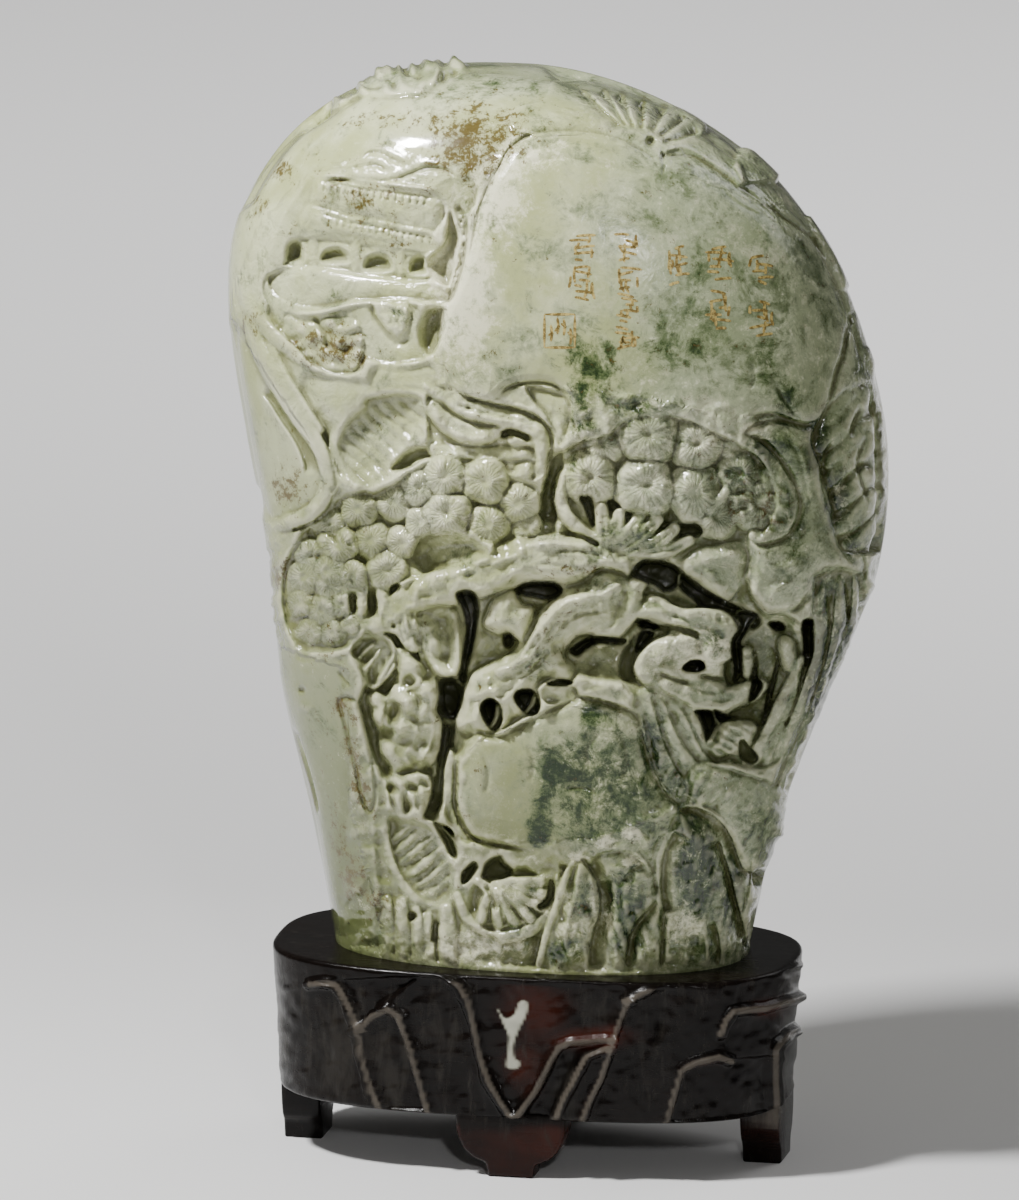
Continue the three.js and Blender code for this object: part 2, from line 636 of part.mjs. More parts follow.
// A foot like a bowl that curves in to a small square pad.
function foot(width) {
  const half = width / 2;
  const pad = (footPadWidth / 2) * (width / footWidth);
  const rise = footHeight - footPadHeight;
  const shape = new THREE.Shape();
  shape.moveTo(-half, 1);
  shape.lineTo(-half, 0);
  shape.bezierCurveTo(-half * 0.98, -rise * 0.6, -half * 0.78, -rise * 0.93, -pad, -rise);
  shape.lineTo(-pad, -footHeight);
  shape.lineTo(pad, -footHeight);
  shape.lineTo(pad, -rise);
  shape.bezierCurveTo(half * 0.78, -rise * 0.93, half * 0.98, -rise * 0.6, half, 0);
  shape.lineTo(half, 1);
  const options = { depth: footThickness, bevelEnabled: false, curveSegments: 4 };
  const geometry = new THREE.ExtrudeGeometry(shape, options);
  geometry.translate(0, 0, -footThickness);
  geometry.rotateX(Math.PI / 2);
  return geometry;
}

function stand() {
  const inset = ribDepth + footInset;
  const endWidth = footWidth * endFootShare;
  const places = [
    { turn: 0, out: standHalfDepth - inset, width: footWidth },
    { turn: Math.PI, out: standHalfDepth - inset, width: footWidth },
    { turn: Math.PI / 2, out: standHalfWidth - inset, width: endWidth },
    { turn: -Math.PI / 2, out: standHalfWidth - inset, width: endWidth },
  ];
  const feet = places.map(({ turn, out, width }) => {
    const geometry = foot(width);
    geometry.translate(0, -out, -standBodyHeight);
    geometry.rotateZ(turn);
    geometry.translate(standCentre.x, standCentre.y, 0);
    return solidOf(geometry);
  });
  const seat = footPlug(seatClearance, -seatDepth - seatClearance, 1);
  const level = new THREE.Vector3().crossVectors(right, backView.upward);
  const behind = { right: backView.right, level: backView.toViewer };
  const slabs = [...slabsOf(frontSlabs, { right, level }), ...slabsOf(backSlabs, behind)];
  return join([standBody(0), ...slabs, ...feet]).subtract(seat);
}

const jade = new THREE.MeshStandardMaterial({ color: 0xa9ab8b, roughness: 0.32, metalness: 0 });
const hardwood = new THREE.MeshStandardMaterial({ color: 0x2a1812, roughness: 0.3, metalness: 0 });

const stone = new THREE.Mesh(geometryOf(boulder()), jade);
stone.name = "jade_boulder";
const base = new THREE.Mesh(geometryOf(stand()), hardwood);
base.name = "wood_stand";

const carving = new THREE.Group();
carving.add(stone, base);
const box = new THREE.Box3().setFromObject(carving);
const middle = box.getCenter(new THREE.Vector3());
carving.position.set(-middle.x, -middle.y, -box.min.z);

const group = new THREE.Group();
group.add(carving);
export default group;
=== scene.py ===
# A jade boulder carved as a mountain landscape, on its dark hardwood stand.
# Metres, +Z up. Carved forms are laid out in thousandths of the stone's height as the camera sees them:
# u runs to the viewer's right of the stone's axis, v runs up from the stand's top plane.

import math
import random

import bmesh
import bpy
import numpy as np
from mathutils import Matrix, Vector
from mathutils.bvhtree import BVHTree


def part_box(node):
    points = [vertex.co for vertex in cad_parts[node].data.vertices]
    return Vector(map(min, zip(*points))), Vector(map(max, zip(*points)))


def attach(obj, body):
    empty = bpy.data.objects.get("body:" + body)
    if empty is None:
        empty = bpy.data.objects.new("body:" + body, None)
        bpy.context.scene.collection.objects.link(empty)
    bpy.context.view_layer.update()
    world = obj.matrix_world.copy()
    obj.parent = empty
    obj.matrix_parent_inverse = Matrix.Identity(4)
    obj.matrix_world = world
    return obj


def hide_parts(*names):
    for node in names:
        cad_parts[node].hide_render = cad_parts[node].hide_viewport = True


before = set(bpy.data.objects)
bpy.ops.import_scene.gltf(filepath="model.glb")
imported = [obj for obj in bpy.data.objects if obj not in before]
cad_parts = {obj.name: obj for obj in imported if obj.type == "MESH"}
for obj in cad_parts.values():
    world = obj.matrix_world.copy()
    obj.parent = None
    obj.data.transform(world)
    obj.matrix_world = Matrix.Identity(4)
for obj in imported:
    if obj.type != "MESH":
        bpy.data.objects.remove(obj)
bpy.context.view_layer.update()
print("frame loaded")

layout = {
    "unit": 0.00023,  # one thousandth of the stone's height
    "turn": 12,  # degrees to the right from which the carved face is read
    "rise": 14,  # and degrees above
    "axis": (-0.003076, 0.002239),  # where the stone's own axis stands
    "seatDepth": 0.005,
    "seatClearance": 0.00035,
    "standHeight": 0.037,  # without its feet
}
unit = layout["unit"]
turn, rise = math.radians(layout["turn"]), math.radians(layout["rise"])
rightward = np.array([math.cos(turn), math.sin(turn), 0.0])
toViewer = np.array([math.sin(turn) * math.cos(rise), -math.cos(turn) * math.cos(rise), math.sin(rise)])
upward = np.cross(toViewer, rightward)
seat = layout["seatDepth"] / unit
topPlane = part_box("jade_boulder")[0].z + layout["seatDepth"]
origin = np.array([layout["axis"][0], layout["axis"][1], topPlane])


def smoothstep(value, low, high):
    share = np.clip((value - low) / (high - low), 0, 1)
    return share * share * (3 - 2 * share)


# A smooth run through the given points, with that many steps from each to the next.
def curve(points, closed=False, steps=5):
    p = np.asarray(points, float)
    n = len(p)
    run = []
    for i in range(n if closed else n - 1):
        if closed:
            a, b, c, d = p[i - 1], p[i], p[(i + 1) % n], p[(i + 2) % n]
        else:
            a, b, c, d = p[max(i - 1, 0)], p[i], p[i + 1], p[min(i + 2, n - 1)]
        for k in range(steps):
            f = k / steps
            cubic = (2 * a - 5 * b + 4 * c - d) * f * f + (3 * b - a - 3 * c + d) * f ** 3
            run.append(0.5 * (2 * b + (c - a) * f + cubic))
    if not closed:
        run.append(p[-1])
    return np.array(run)


# The share of a line's length at each of its points, and that length.
def walked(line):
    reach = np.concatenate([[0], np.cumsum(np.hypot(*np.diff(line[:, :2], axis=0).T))])
    return reach / max(reach[-1], 1e-6), reach[-1]


# How far each place is from a line, how far along it that is, and on which side (1 is its left).
def nearLine(u, v, line):
    nearest = np.full(u.shape, 1e9)
    along = np.zeros(u.shape)
    side = np.ones(u.shape)
    shares = walked(line)[0]
    for i in range(len(line) - 1):
        (ua, va), (ub, vb) = line[i, :2], line[i + 1, :2]
        eu, ev = ub - ua, vb - va
        f = np.clip(((u - ua) * eu + (v - va) * ev) / max(eu * eu + ev * ev, 1e-9), 0, 1)
        du, dv = u - ua - eu * f, v - va - ev * f
        away = np.hypot(du, dv)
        closer = away < nearest
        nearest = np.where(closer, away, nearest)
        along = np.where(closer, shares[i] + f * (shares[i + 1] - shares[i]), along)
        side = np.where(closer, np.where(eu * dv - ev * du >= 0, 1, -1), side)
    return nearest, along, side


def within(u, v, outline):
    inside = np.zeros(u.shape, bool)
    for (ua, va), (ub, vb) in zip(np.roll(outline, 1, axis=0)[:, :2], outline[:, :2]):
        if va != vb:
            inside ^= ((va > v) != (vb > v)) & (u < ua + (ub - ua) * (v - va) / (vb - va))
    return inside


# How far inside an outline each place lies, and less than nothing outside it.
def inwards(u, v, outline):
    away = nearLine(u, v, np.vstack([outline, outline[:1]]))[0]
    return away * np.where(within(u, v, outline), 1, -1)


waves = {"count": 9, "spread": (0.7, 1.6), "bend": 2.6, "sway": 1.4, "scale": 3.2}


# Smooth unevenness between about -1 and 1, with lumps of the given size.
def ripple(u, v, size, seed):
    chance = random.Random(seed)
    total = np.zeros(np.shape(u))
    for _ in range(waves["count"]):
        heading = chance.uniform(0, math.tau)
        pace = math.tau / (size * chance.uniform(*waves["spread"]))
        bend = math.tau / (size * waves["bend"])
        across = v * math.cos(heading) - u * math.sin(heading)
        wave = (u * math.cos(heading) + v * math.sin(heading)) * pace + chance.uniform(0, math.tau)
        total = total + np.sin(wave + waves["sway"] * np.sin(across * bend + chance.uniform(0, math.tau)))
    return total / waves["scale"]


# How the carver's tools meet the stone, in the sheet's own units or as shares of a form's radius.
tools = {
    "margin": 3,
    "edge": 1.2,  # half the width over which a limb or cushion meets the ground
    "roughEdge": 5,
    "roughSoft": 10,
    "tiny": 1e-9,
    "barkLong": (2.2, 0.4, 1.5),  # height, then how stretched along and across the limb
    "barkFine": (0.8, 0.5),
    "cushionRoundness": 2.1,
    "cushionWobble": (0.05, 0.03),
    "cushionLumps": (0.05, 1.1),
    "cushionEye": 0.16,
    "needleDepth": 0.5,
    "needlesFrom": (0.08, 0.3),
    "needlesTo": (0.7, 1.0),
    "pitReach": 1.2,
    "pitEdge": (0.3, 1.1),
    "taperFrom": -0.01,
    "ridgeSides": 1.9,
    "foldEdge": 1.5,
    "foldFall": 1.6,
    "fluteBend": 22,
}


# A sheet of depths under the skin, carved with outlines, limbs, cushions, grooves, folds and flutes.
class Relief:
    def __init__(self, low, high, pitch):
        self.low, self.pitch = np.array(low, float), pitch
        columns = np.arange(low[0], high[0] + pitch, pitch)
        rows = np.arange(low[1], high[1] + pitch, pitch)
        self.u, self.v = np.meshgrid(columns, rows)
        self.depth, self.needleU, self.needleV, self.needled = (np.zeros(self.u.shape) for _ in range(4))

    # The part of the sheet round some points.
    def window(self, points, reach):
        flat = np.asarray(points, float)[:, :2]
        first = np.floor((flat.min(0) - reach - self.low) / self.pitch).astype(int)
        last = np.ceil((flat.max(0) + reach - self.low) / self.pitch).astype(int) + 1
        box = tuple(slice(*np.clip((first[k], last[k]), 0, self.depth.shape[1 - k])) for k in (1, 0))
        return box, self.u[box], self.v[box]

    # The part of the sheet round an outline, and how far inside it each place lies.
    def patch(self, outline, soft, curved=True):
        line = curve(outline, closed=True, steps=4) if curved else np.asarray(outline, float)
        box, u, v = self.window(line, soft)
        return line, box, u, v, inwards(u, v, line)

    # The part of the sheet round a line, the distance from it, the side, and a share that fades at its ends.
    def strip(self, line, reach, curved, taper):
        run = curve(line) if curved else np.asarray(line, float)
        box, u, v = self.window(run, reach)
        away, along, side = nearLine(u, v, run)
        start = tools["taperFrom"]
        ends = smoothstep(along, start, taper) * smoothstep(1 - along, start, taper) if taper else 1
        return box, away, side, ends

    def blend(self, box, level, cover, how):
        ground = self.depth[box]
        change = level if how == "add" else level - ground
        if how == "raise":
            change = np.minimum(change, 0)
        if how == "sink":
            change = np.maximum(change, 0)
        self.depth[box] = ground + change * cover
        self.needled[box] = np.where((cover > 0.5) & (np.abs(change) > 0.05), 0, self.needled[box])

    # The profile gives depths at distances inward from the outline.
    def shape(self, outline, profile, soft=4, how="set", curved=True, tilt=(0, 0), rough=None):
        line, box, u, v, inward = self.patch(outline, soft, curved)
        if isinstance(profile, (int, float)):
            profile = [(0, profile)]
        level = np.interp(inward, *zip(*profile))
        middle = line.mean(0)
        level = level + (u - middle[0]) * tilt[0] + (v - middle[1]) * tilt[1]
        if rough:
            fade = smoothstep(inward, 0, tools["roughEdge"])
            level = level + rough[1] * ripple(u, v, rough[0], len(line)) * fade
        self.blend(box, level, smoothstep(inward, -soft / 2, soft / 2), how)

    # A rounded rope or branch through points (u, v, radius, depth of its back).
    def limb(self, line, ribs=None, bark=None, flat=1.0):
        run = curve(line)
        box, u, v = self.window(run, run[:, 2].max() + tools["margin"])
        away, along, side = nearLine(u, v, run)
        shares, total = walked(run)
        radius = np.interp(along, shares, run[:, 2])
        share = np.clip(away / radius, 0, 1)
        sag = flat * radius * (1 - np.sqrt(1 - share ** 2 + tools["tiny"]))
        level = np.interp(along, shares, run[:, 3]) + sag
        if ribs:
            wave = 0.5 - 0.5 * np.cos(ribs[0] * math.pi * (1 + side * share))
            level = level + ribs[1] * wave * (1 - share ** 4)
        if bark:
            size, amount = bark
            (tall, long, wide), (low, small) = tools["barkLong"], tools["barkFine"]
            level = level + tall * amount * ripple(along * total * long, side * away * wide, size, len(run))
            level = level + low * amount * ripple(u, v, small * size, len(run) + 3)
        self.blend(box, level, smoothstep(radius - away, -tools["edge"], tools["edge"]), "raise")

    # A rounded tuft of pine needles that spread from its eye.
    def cushion(self, u0, v0, radius, level, sag=0.78, needles=0, pit=0.0, squash=1.0, seed=1):
        box, u, v = self.window([[u0, v0]], radius + tools["margin"])
        du, dv = u - u0, (v - v0) / squash
        angle = np.arctan2(dv, du)
        (three, five), (lumps, lumpSize) = tools["cushionWobble"], tools["cushionLumps"]
        wobble = 1 + three * np.sin(3 * angle + seed) + five * np.sin(5 * angle + 2.3 * seed)
        share = np.hypot(du, dv) / (radius * wobble)
        dome = 1 - np.sqrt(1 - np.clip(share, 0, 1) ** tools["cushionRoundness"] + tools["tiny"])
        surface = level + sag * radius * dome
        surface = surface + lumps * radius * ripple(u, v, radius * lumpSize, seed)
        if pit:
            surface = surface + pit * np.exp(-((share / tools["cushionEye"]) ** 2))
        if needles:
            reach = smoothstep(share, *tools["needlesFrom"]) * (1 - smoothstep(share, *tools["needlesTo"]))
            surface = surface - tools["needleDepth"] * reach * np.cos(0.5 * needles * angle + seed)
        wins = (surface < self.depth[box]) & (share < 1)
        self.blend(box, surface, smoothstep((1 - share) * radius, -tools["edge"], tools["edge"]), "raise")
        if needles:
            for sheet, value in ((self.needleU, du / radius), (self.needleV, dv / radius), (self.needled, 1)):
                sheet[box] = np.where(wins, value, sheet[box])

    def pit(self, u0, v0, radius, depth, squash=1.0):
        box, u, v = self.window([[u0, v0]], radius * tools["pitReach"])
        share = np.hypot(u - u0, (v - v0) / squash) / radius
        self.depth[box] += depth * (1 - smoothstep(share, *tools["pitEdge"]))

    # A narrow band with a flat back and bevelled sides.
    def ridge(self, line, width, height, curved=True, taper=0.08):
        box, away, _, ends = self.strip(line, width, curved, taper)
        self.depth[box] -= height * np.clip(tools["ridgeSides"] * (1 - 2 * away / width), 0, 1) * ends

    def groove(self, line, width, depth, curved=True, taper=0.15):
        box, away, _, ends = self.strip(line, width, curved, taper)
        self.depth[box] += depth * np.clip(1 - (2 * away / width) ** 2, 0, 1) * ends

    # Layers that lap over each other: what lies left of the line drops at once and climbs back slowly.
    def fold(self, line, width, depth, taper=0.15):
        box, away, side, ends = self.strip(line, width + tools["margin"], True, taper)
        gone = away * side
        fall = np.clip(1 - gone / width, 0, 1) ** tools["foldFall"]
        drop = smoothstep(gone, -tools["foldEdge"], tools["foldEdge"]) * fall
        self.depth[box] += depth * drop * ends

    def flutes(self, outline, heading, spacing, depth, soft=8, bend=0.0):
        _, box, u, v, inward = self.patch(outline, soft)
        across = math.radians(heading)
        run = u * math.cos(across) + v * math.sin(across)
        slant = v * math.cos(across) - u * math.sin(across)
        wave = np.abs(np.sin(math.pi * ((run + bend * np.sin(slant / tools["fluteBend"])) / spacing)))
        self.depth[box] += depth * (1 - wave) * smoothstep(inward, 0, soft)

    def rough(self, outline, size, amount):
        soft = tools["roughSoft"]
        line, box, u, v, inward = self.patch(outline, soft)
        self.depth[box] += amount * ripple(u, v, size, len(line)) * smoothstep(inward, -soft / 2, soft / 2)

    def soften(self, times):
        for _ in range(times):
            d = np.pad(self.depth, 1, mode="edge")
            cross = d[:-2, 1:-1] + d[2:, 1:-1] + d[1:-1, :-2] + d[1:-1, 2:]
            self.depth = 0.5 * d[1:-1, 1:-1] + 0.125 * cross

    # How far each place stands above what lies around it.
    def crests(self, reach):
        spread = self.depth
        for _ in range(3):
            for axis in (0, 1):
                spread = sum(np.roll(spread, k, axis) for k in range(-reach, reach + 1)) / (2 * reach + 1)
        return spread - self.depth

    # The sheet's values at any places.
    def at(self, u, v, sheet=None):
        sheet = self.depth if sheet is None else sheet
        rows, columns = sheet.shape
        x = np.clip((u - self.low[0]) / self.pitch, 0, columns - 1.001)
        y = np.clip((v - self.low[1]) / self.pitch, 0, rows - 1.001)
        i, j = x.astype(int), y.astype(int)
        fx, fy = x - i, y - j
        low = sheet[j, i] * (1 - fx) + sheet[j, i + 1] * fx
        high = sheet[j + 1, i] * (1 - fx) + sheet[j + 1, i + 1] * fx
        return low * (1 - fy) + high * fy


# The pebble's own skin, with half widths at even steps of a quarter turn from its foot to its crown.
pebble = {
    "right": [222, 257, 312, 370, 382, 358, 316, 257, 175, 84, 0],
    "left": [228, 258, 292, 306, 330, 346, 338, 294, 224, 128, 0],
    "front": [125, 148, 170, 186, 192, 190, 182, 165, 135, 82, 0],
    "back": [125, 145, 160, 170, 175, 172, 165, 148, 120, 75, 0],
    "crown": 986,
    "lean": -50,
    "roundness": 2.3,
    "columns": 700,
    "rings": 640,
    "crowding": 0.48,  # how much closer the columns stand on the carved face than round the back
    "ringSpread": 0.3,
    "base": 0.012,  # share of the rings under the foot
    "held": (2, 12),  # heights over which the carving begins above the stand
    "triangles": 196000,
}


# A smooth run through values at even steps.
def through(values, share):
    values = np.asarray(values, float)
    last = len(values) - 1
    place = np.clip(share, 0, 1) * last
    i = np.minimum(place.astype(int), last - 1)
    f = place - i
    ends = np.concatenate([[2 * values[0] - values[1]], values, [2 * values[-1] - values[-2]]])
    a, b, c, d = (ends[i + k] for k in range(4))
    square, cube = 2 * a - 5 * b + 4 * c - d, 3 * b - a - 3 * c + d
    return 0.5 * (2 * b + (c - a) * f + square * f * f + cube * f ** 3)


def superEllipse(cos, sin, power):
    return (np.abs(cos) ** power + np.abs(sin) ** power) ** (-1 / power)


def skinPoint(angle, height):
    cos, sin = np.cos(angle), np.sin(angle)
    across = np.where(cos > 0, through(pebble["right"], height), through(pebble["left"], height))
    deep = np.where(sin > 0, through(pebble["back"], height), through(pebble["front"], height))
    reach = superEllipse(cos, sin, pebble["roundness"])
    z = -seat + (pebble["crown"] + seat) * np.sin(height * math.pi / 2)
    return np.stack([pebble["lean"] * height ** 4 + across * cos * reach, deep * sin * reach, z], axis=-1)


def skinNormal(angle, height):
    step = 1e-3
    low = np.minimum(height, 1 - 2 * step)
    around = skinPoint(angle + step, low) - skinPoint(angle - step, low)
    up = skinPoint(angle, low + step) - skinPoint(angle, np.maximum(low - step, 0))
    normal = np.cross(around, up)
    return normal / np.maximum(np.linalg.norm(normal, axis=-1, keepdims=True), 1e-9)


# A new object in the scene, from a mesh, a lamp or a camera.
def finished(name, data):
    piece = bpy.data.objects.new(name, data)
    bpy.context.scene.collection.objects.link(piece)
    return piece


def meshOf(name, bm):
    mesh = bpy.data.meshes.new(name)
    bm.to_mesh(mesh)
    bm.free()
    return mesh


def places(mesh):
    flat = np.empty(len(mesh.vertices) * 3, np.float64)
    mesh.vertices.foreach_get("co", flat)
    return flat.reshape(-1, 3)


# A sheet of columns round and rings from top to bottom, and each place's angle and share of the way down.
def openSheet(name, columns, rings):
    bm = bmesh.new()
    bmesh.ops.create_grid(bm, x_segments=columns, y_segments=rings, size=1)
    mesh = meshOf(name, bm)
    flat = places(mesh)
    return mesh, flat[:, 0] * math.pi, (1 - flat[:, 1]) / 2


def closedUp(mesh, weld=2e-7, sliver=1e-8):
    bm = bmesh.new()
    bm.from_mesh(mesh)
    bmesh.ops.remove_doubles(bm, verts=bm.verts, dist=weld)
    bmesh.ops.dissolve_degenerate(bm, edges=bm.edges, dist=sliver)
    bmesh.ops.recalc_face_normals(bm, faces=bm.faces)
    bm.to_mesh(mesh)
    bm.free()


def moveTo(mesh, points):
    mesh.vertices.foreach_set("co", np.asarray(points, np.float32).ravel())
    mesh.update()


def thinned(piece, triangles):
    have = sum(len(p.vertices) - 2 for p in piece.data.polygons)
    if have > triangles:
        thin = piece.modifiers.new("thin", "DECIMATE")
        thin.ratio = triangles / have
        mesh = bpy.data.meshes.new_from_object(piece.evaluated_get(bpy.context.evaluated_depsgraph_get()))
        piece.modifiers.clear()
        piece.data = mesh
    piece.data.shade_smooth()
    return piece


# The carved face, from the ground of each scene up to what stands in front.
face = Relief((-420, -110), (420, 1030), 1.5)

# Smooth face that carries the inscription, with thin layers of rock over its top.
face.groove([(-132, 640), (-124, 680), (-112, 710), (-100, 745), (-94, 780)], 26, 9, taper=0.2)
face.shape([(-122, 655), (-112, 690), (-98, 720), (-82, 760), (-75, 790), (-72, 805), (-60, 835), (-50, 850),
        (-40, 868), (-15, 888), (0, 896), (40, 895), (75, 889), (105, 874), (130, 862), (165, 860),
        (200, 838), (212, 828), (255, 798), (290, 775), (315, 725), (329, 665), (318, 625), (306, 584),
        (285, 568), (240, 579), (214, 540), (165, 555), (112, 556), (60, 540), (34, 560), (14, 606),
        (-15, 613), (-38, 608), (-60, 592), (-85, 592), (-98, 600), (-116, 630)], [(0, 4), (4, -1), (11, -4),
        (34, -6)], soft=3)
face.shape([(-35, 890), (0, 882), (40, 884), (75, 875), (105, 860), (122, 846), (122, 900), (60, 925),
        (-30, 915)], -3.5, soft=3)
face.fold([(-38, 868), (-15, 882), (0, 886), (40, 886), (75, 880), (105, 866), (126, 848)], 10, 5)
face.fold([(-28, 855), (0, 872), (30, 875), (60, 868), (100, 854), (124, 840)], 8, 3)
face.fold([(-25, 850), (20, 857), (50, 852), (100, 840), (118, 836)], 7, 2.2)
face.shape([(-15, 900), (0, 925), (10, 945), (60, 955), (120, 935), (170, 905), (175, 890), (150, 875),
        (128, 868), (108, 880), (80, 892), (30, 903)], -3.5, soft=4)
for fan in (
        [(84, 893), (60, 915), (40, 938)],
        [(90, 892), (76, 915), (66, 940)],
        [(98, 890), (90, 912), (86, 937)],
        [(106, 888), (108, 908), (112, 930)],
        [(118, 886), (126, 902), (136, 920)],
        [(124, 880), (140, 892), (156, 906)],
        [(128, 874), (148, 880), (170, 888)]):
    face.fold(fan, 15, 10, taper=0.1)
    face.groove(fan, 4, 2)
face.pit(115, 876, 7, 9)
face.shape([(128, 866), (140, 872), (150, 878), (165, 882), (180, 874), (200, 862), (213, 850), (217, 835),
        (212, 828), (200, 838), (180, 852), (160, 862), (145, 866)], -5, soft=6)
face.groove([(130, 863), (145, 867), (160, 863), (180, 851), (200, 838), (212, 828)], 7, 2.5)
face.groove([(212, 828), (222, 823), (240, 812), (255, 798), (275, 783), (290, 775), (300, 762), (310, 745),
        (318, 725), (325, 705), (334, 680), (341, 655), (346, 620)], 6, 4)
face.fold([(200, 842), (222, 823), (255, 798), (290, 775), (310, 745), (325, 710)], 14, -2.5)
face.groove([(190, 825), (215, 805), (250, 790)], 4, 1.2)
face.groove([(128, 866), (129, 850), (128, 838)], 4, 2.5)
face.groove([(208, 560), (218, 568), (228, 576), (240, 579), (255, 576), (270, 570), (285, 568), (300, 573),
        (308, 585), (312, 600), (318, 625), (325, 645), (328, 665), (338, 700)], 8, 6)
face.groove([(250, 615), (258, 598), (268, 585), (280, 570)], 5, 3)
face.groove([(225, 635), (228, 620), (222, 606)], 4, 1.5)

# Rough crag at the top left, over the pavilion.
face.shape([(-262, 893), (-247, 908), (-235, 928), (-216, 940), (-200, 952), (-170, 963), (-150, 970),
        (-135, 973), (-105, 970), (-89, 961), (-112, 950), (-118, 942), (-130, 930), (-150, 928), (-180, 927),
        (-205, 928), (-218, 922), (-237, 909), (-250, 903)], -9, soft=7)
for lumps, height in ((34, 3), (15, 2.6)):
    face.rough([(-250, 905), (-235, 930), (-200, 955), (-135, 975), (-85, 965), (-118, 935), (-200, 922)],
            lumps, height)
face.groove([(-250, 903), (-235, 909), (-215, 922), (-203, 928), (-180, 927), (-150, 928), (-130, 930),
        (-118, 942), (-108, 953), (-88, 963)], 12, 1)
for split in (
        [(-215, 940), (-190, 935), (-170, 938)],
        [(-160, 965), (-150, 950), (-135, 944)],
        [(-190, 950), (-178, 943), (-160, 948)]):
    face.groove(split, 5, 3)

# Pavilion in its valley.
face.shape([(-250, 840), (-264, 826), (-284, 796), (-297, 764), (-306, 735), (-303, 706), (-262, 694),
        (-205, 704), (-150, 706), (-128, 700), (-112, 704), (-100, 720), (-86, 760), (-80, 792), (-84, 812),
        (-108, 826), (-140, 824), (-180, 832), (-215, 838)], [(0, 1), (12, 7), (28, 17)], soft=6)
face.shape([(-268, 772), (-235, 773), (-200, 768), (-165, 759), (-128, 755), (-118, 726), (-150, 722),
        (-205, 730), (-262, 738), (-284, 744)], 23, soft=5, curved=False)
face.shape([(-258, 742), (-205, 733), (-150, 726), (-110, 716), (-112, 700), (-150, 704), (-205, 702),
        (-262, 692), (-300, 702), (-302, 730)], [(0, 17), (10, 12)], soft=8)
face.shape([(-250, 838), (-225, 834), (-200, 829), (-160, 824), (-130, 820), (-115, 815), (-112, 800),
        (-118, 780), (-150, 783), (-180, 790), (-215, 796), (-230, 802), (-252, 808), (-262, 806),
        (-256, 820)], [(0, 9), (8, 5)], soft=3, how="raise", tilt=(0, -0.30))
face.shape([(-262, 806), (-252, 806), (-230, 800), (-215, 794), (-180, 788), (-150, 781), (-115, 774),
        (-118, 752), (-130, 755), (-165, 759), (-200, 768), (-235, 773), (-265, 771), (-280, 771),
        (-275, 790)], [(0, 16), (8, 12)], soft=3, how="raise", tilt=(0, -0.32))
for edge in (
        [(-254, 842), (-225, 839), (-200, 834), (-160, 829), (-130, 825), (-112, 819)],
        [(-264, 808), (-252, 807), (-230, 801), (-215, 795), (-180, 789), (-150, 782), (-115, 776)]):
    face.groove(edge, 5, -4)
for edge in (
        [(-250, 834), (-225, 830), (-200, 825), (-160, 820), (-130, 816), (-116, 811)],
        [(-250, 800), (-230, 794), (-215, 789), (-180, 783), (-150, 776), (-118, 770)]):
    face.groove(edge, 4, 3)
face.groove([(-270, 771), (-235, 771), (-200, 766), (-165, 757), (-130, 752), (-116, 750)], 5, -3)
for k in range(15):
    share = k / 14
    u0, v0 = -240 + 110 * share, 829 - 15 * share
    face.groove([(u0, v0), (u0 - 1, v0 - 6)], 3.4, 3.4, curved=False, taper=0)
    u1, v1 = -225 + 100 * share, 790 - 18 * share
    face.groove([(u1, v1), (u1 - 1, v1 - 5)], 3.2, 2.8, curved=False, taper=0)
for low, high, foot, head in ((-281, -262, 745, 770), (-245, -213, 743, 765), (-198, -166, 734, 758),
                              (-149, -126, 731, 755)):
    middle = (low + high) / 2
    face.shape([(low, foot), (low, head - 7), (middle, head), (high, head - 7), (high, foot)],
               [(0, 18), (9, 34)], soft=7, tilt=(0, 0.1))
for post in (-253, -206, -157):
    face.limb([(post, 738 + (post + 206) * -0.1, 6, 19), (post, 766 + (post + 206) * -0.1, 6, 19)])
for hip in (
        [(-250, 842, 5, 6), (-256, 822, 5, 8), (-264, 806, 4, 10)],
        [(-262, 806, 5, 12), (-274, 790, 5, 14), (-282, 771, 4, 15)]):
    face.limb(hip)
for rope in (
        [(-252, 850), (-232, 851), (-211, 851), (-200, 860), (-194, 869), (-182, 871), (-168, 865),
            (-150, 856)],
        [(-202, 855), (-185, 858), (-172, 851), (-163, 843), (-150, 847), (-130, 854), (-110, 852),
            (-93, 842)],
        [(-163, 843), (-180, 839), (-215, 843), (-245, 839)]):
    face.limb([(a, b, 8, -1) for a, b in rope])
    face.groove([(a, b - 7) for a, b in rope], 6, 4)
face.shape([(-118, 828), (-105, 835), (-90, 838), (-78, 838), (-73, 825), (-76, 808), (-85, 798), (-97, 802),
        (-104, 806)], 6, soft=3, curved=False, tilt=(0.1, -0.25))
for lobe in (
        [(-115, 815), (-103, 806), (-104, 792), (-115, 776)],
        [(-117, 774), (-110, 764), (-112, 755), (-125, 750)]):
    face.limb([(a, b, 6, 11) for a, b in lobe])
face.shape([(-104, 800), (-98, 788), (-92, 772), (-97, 752), (-99, 735), (-102, 718), (-114, 722),
        (-126, 731), (-132, 742), (-122, 755), (-110, 767), (-107, 785)], [(0, 22), (10, 32)], soft=4)
face.shape([(-98, 805), (-88, 800), (-84, 770), (-90, 735), (-101, 705), (-110, 705), (-100, 735),
        (-93, 770)], 15, soft=4, rough=(7, 2.5))

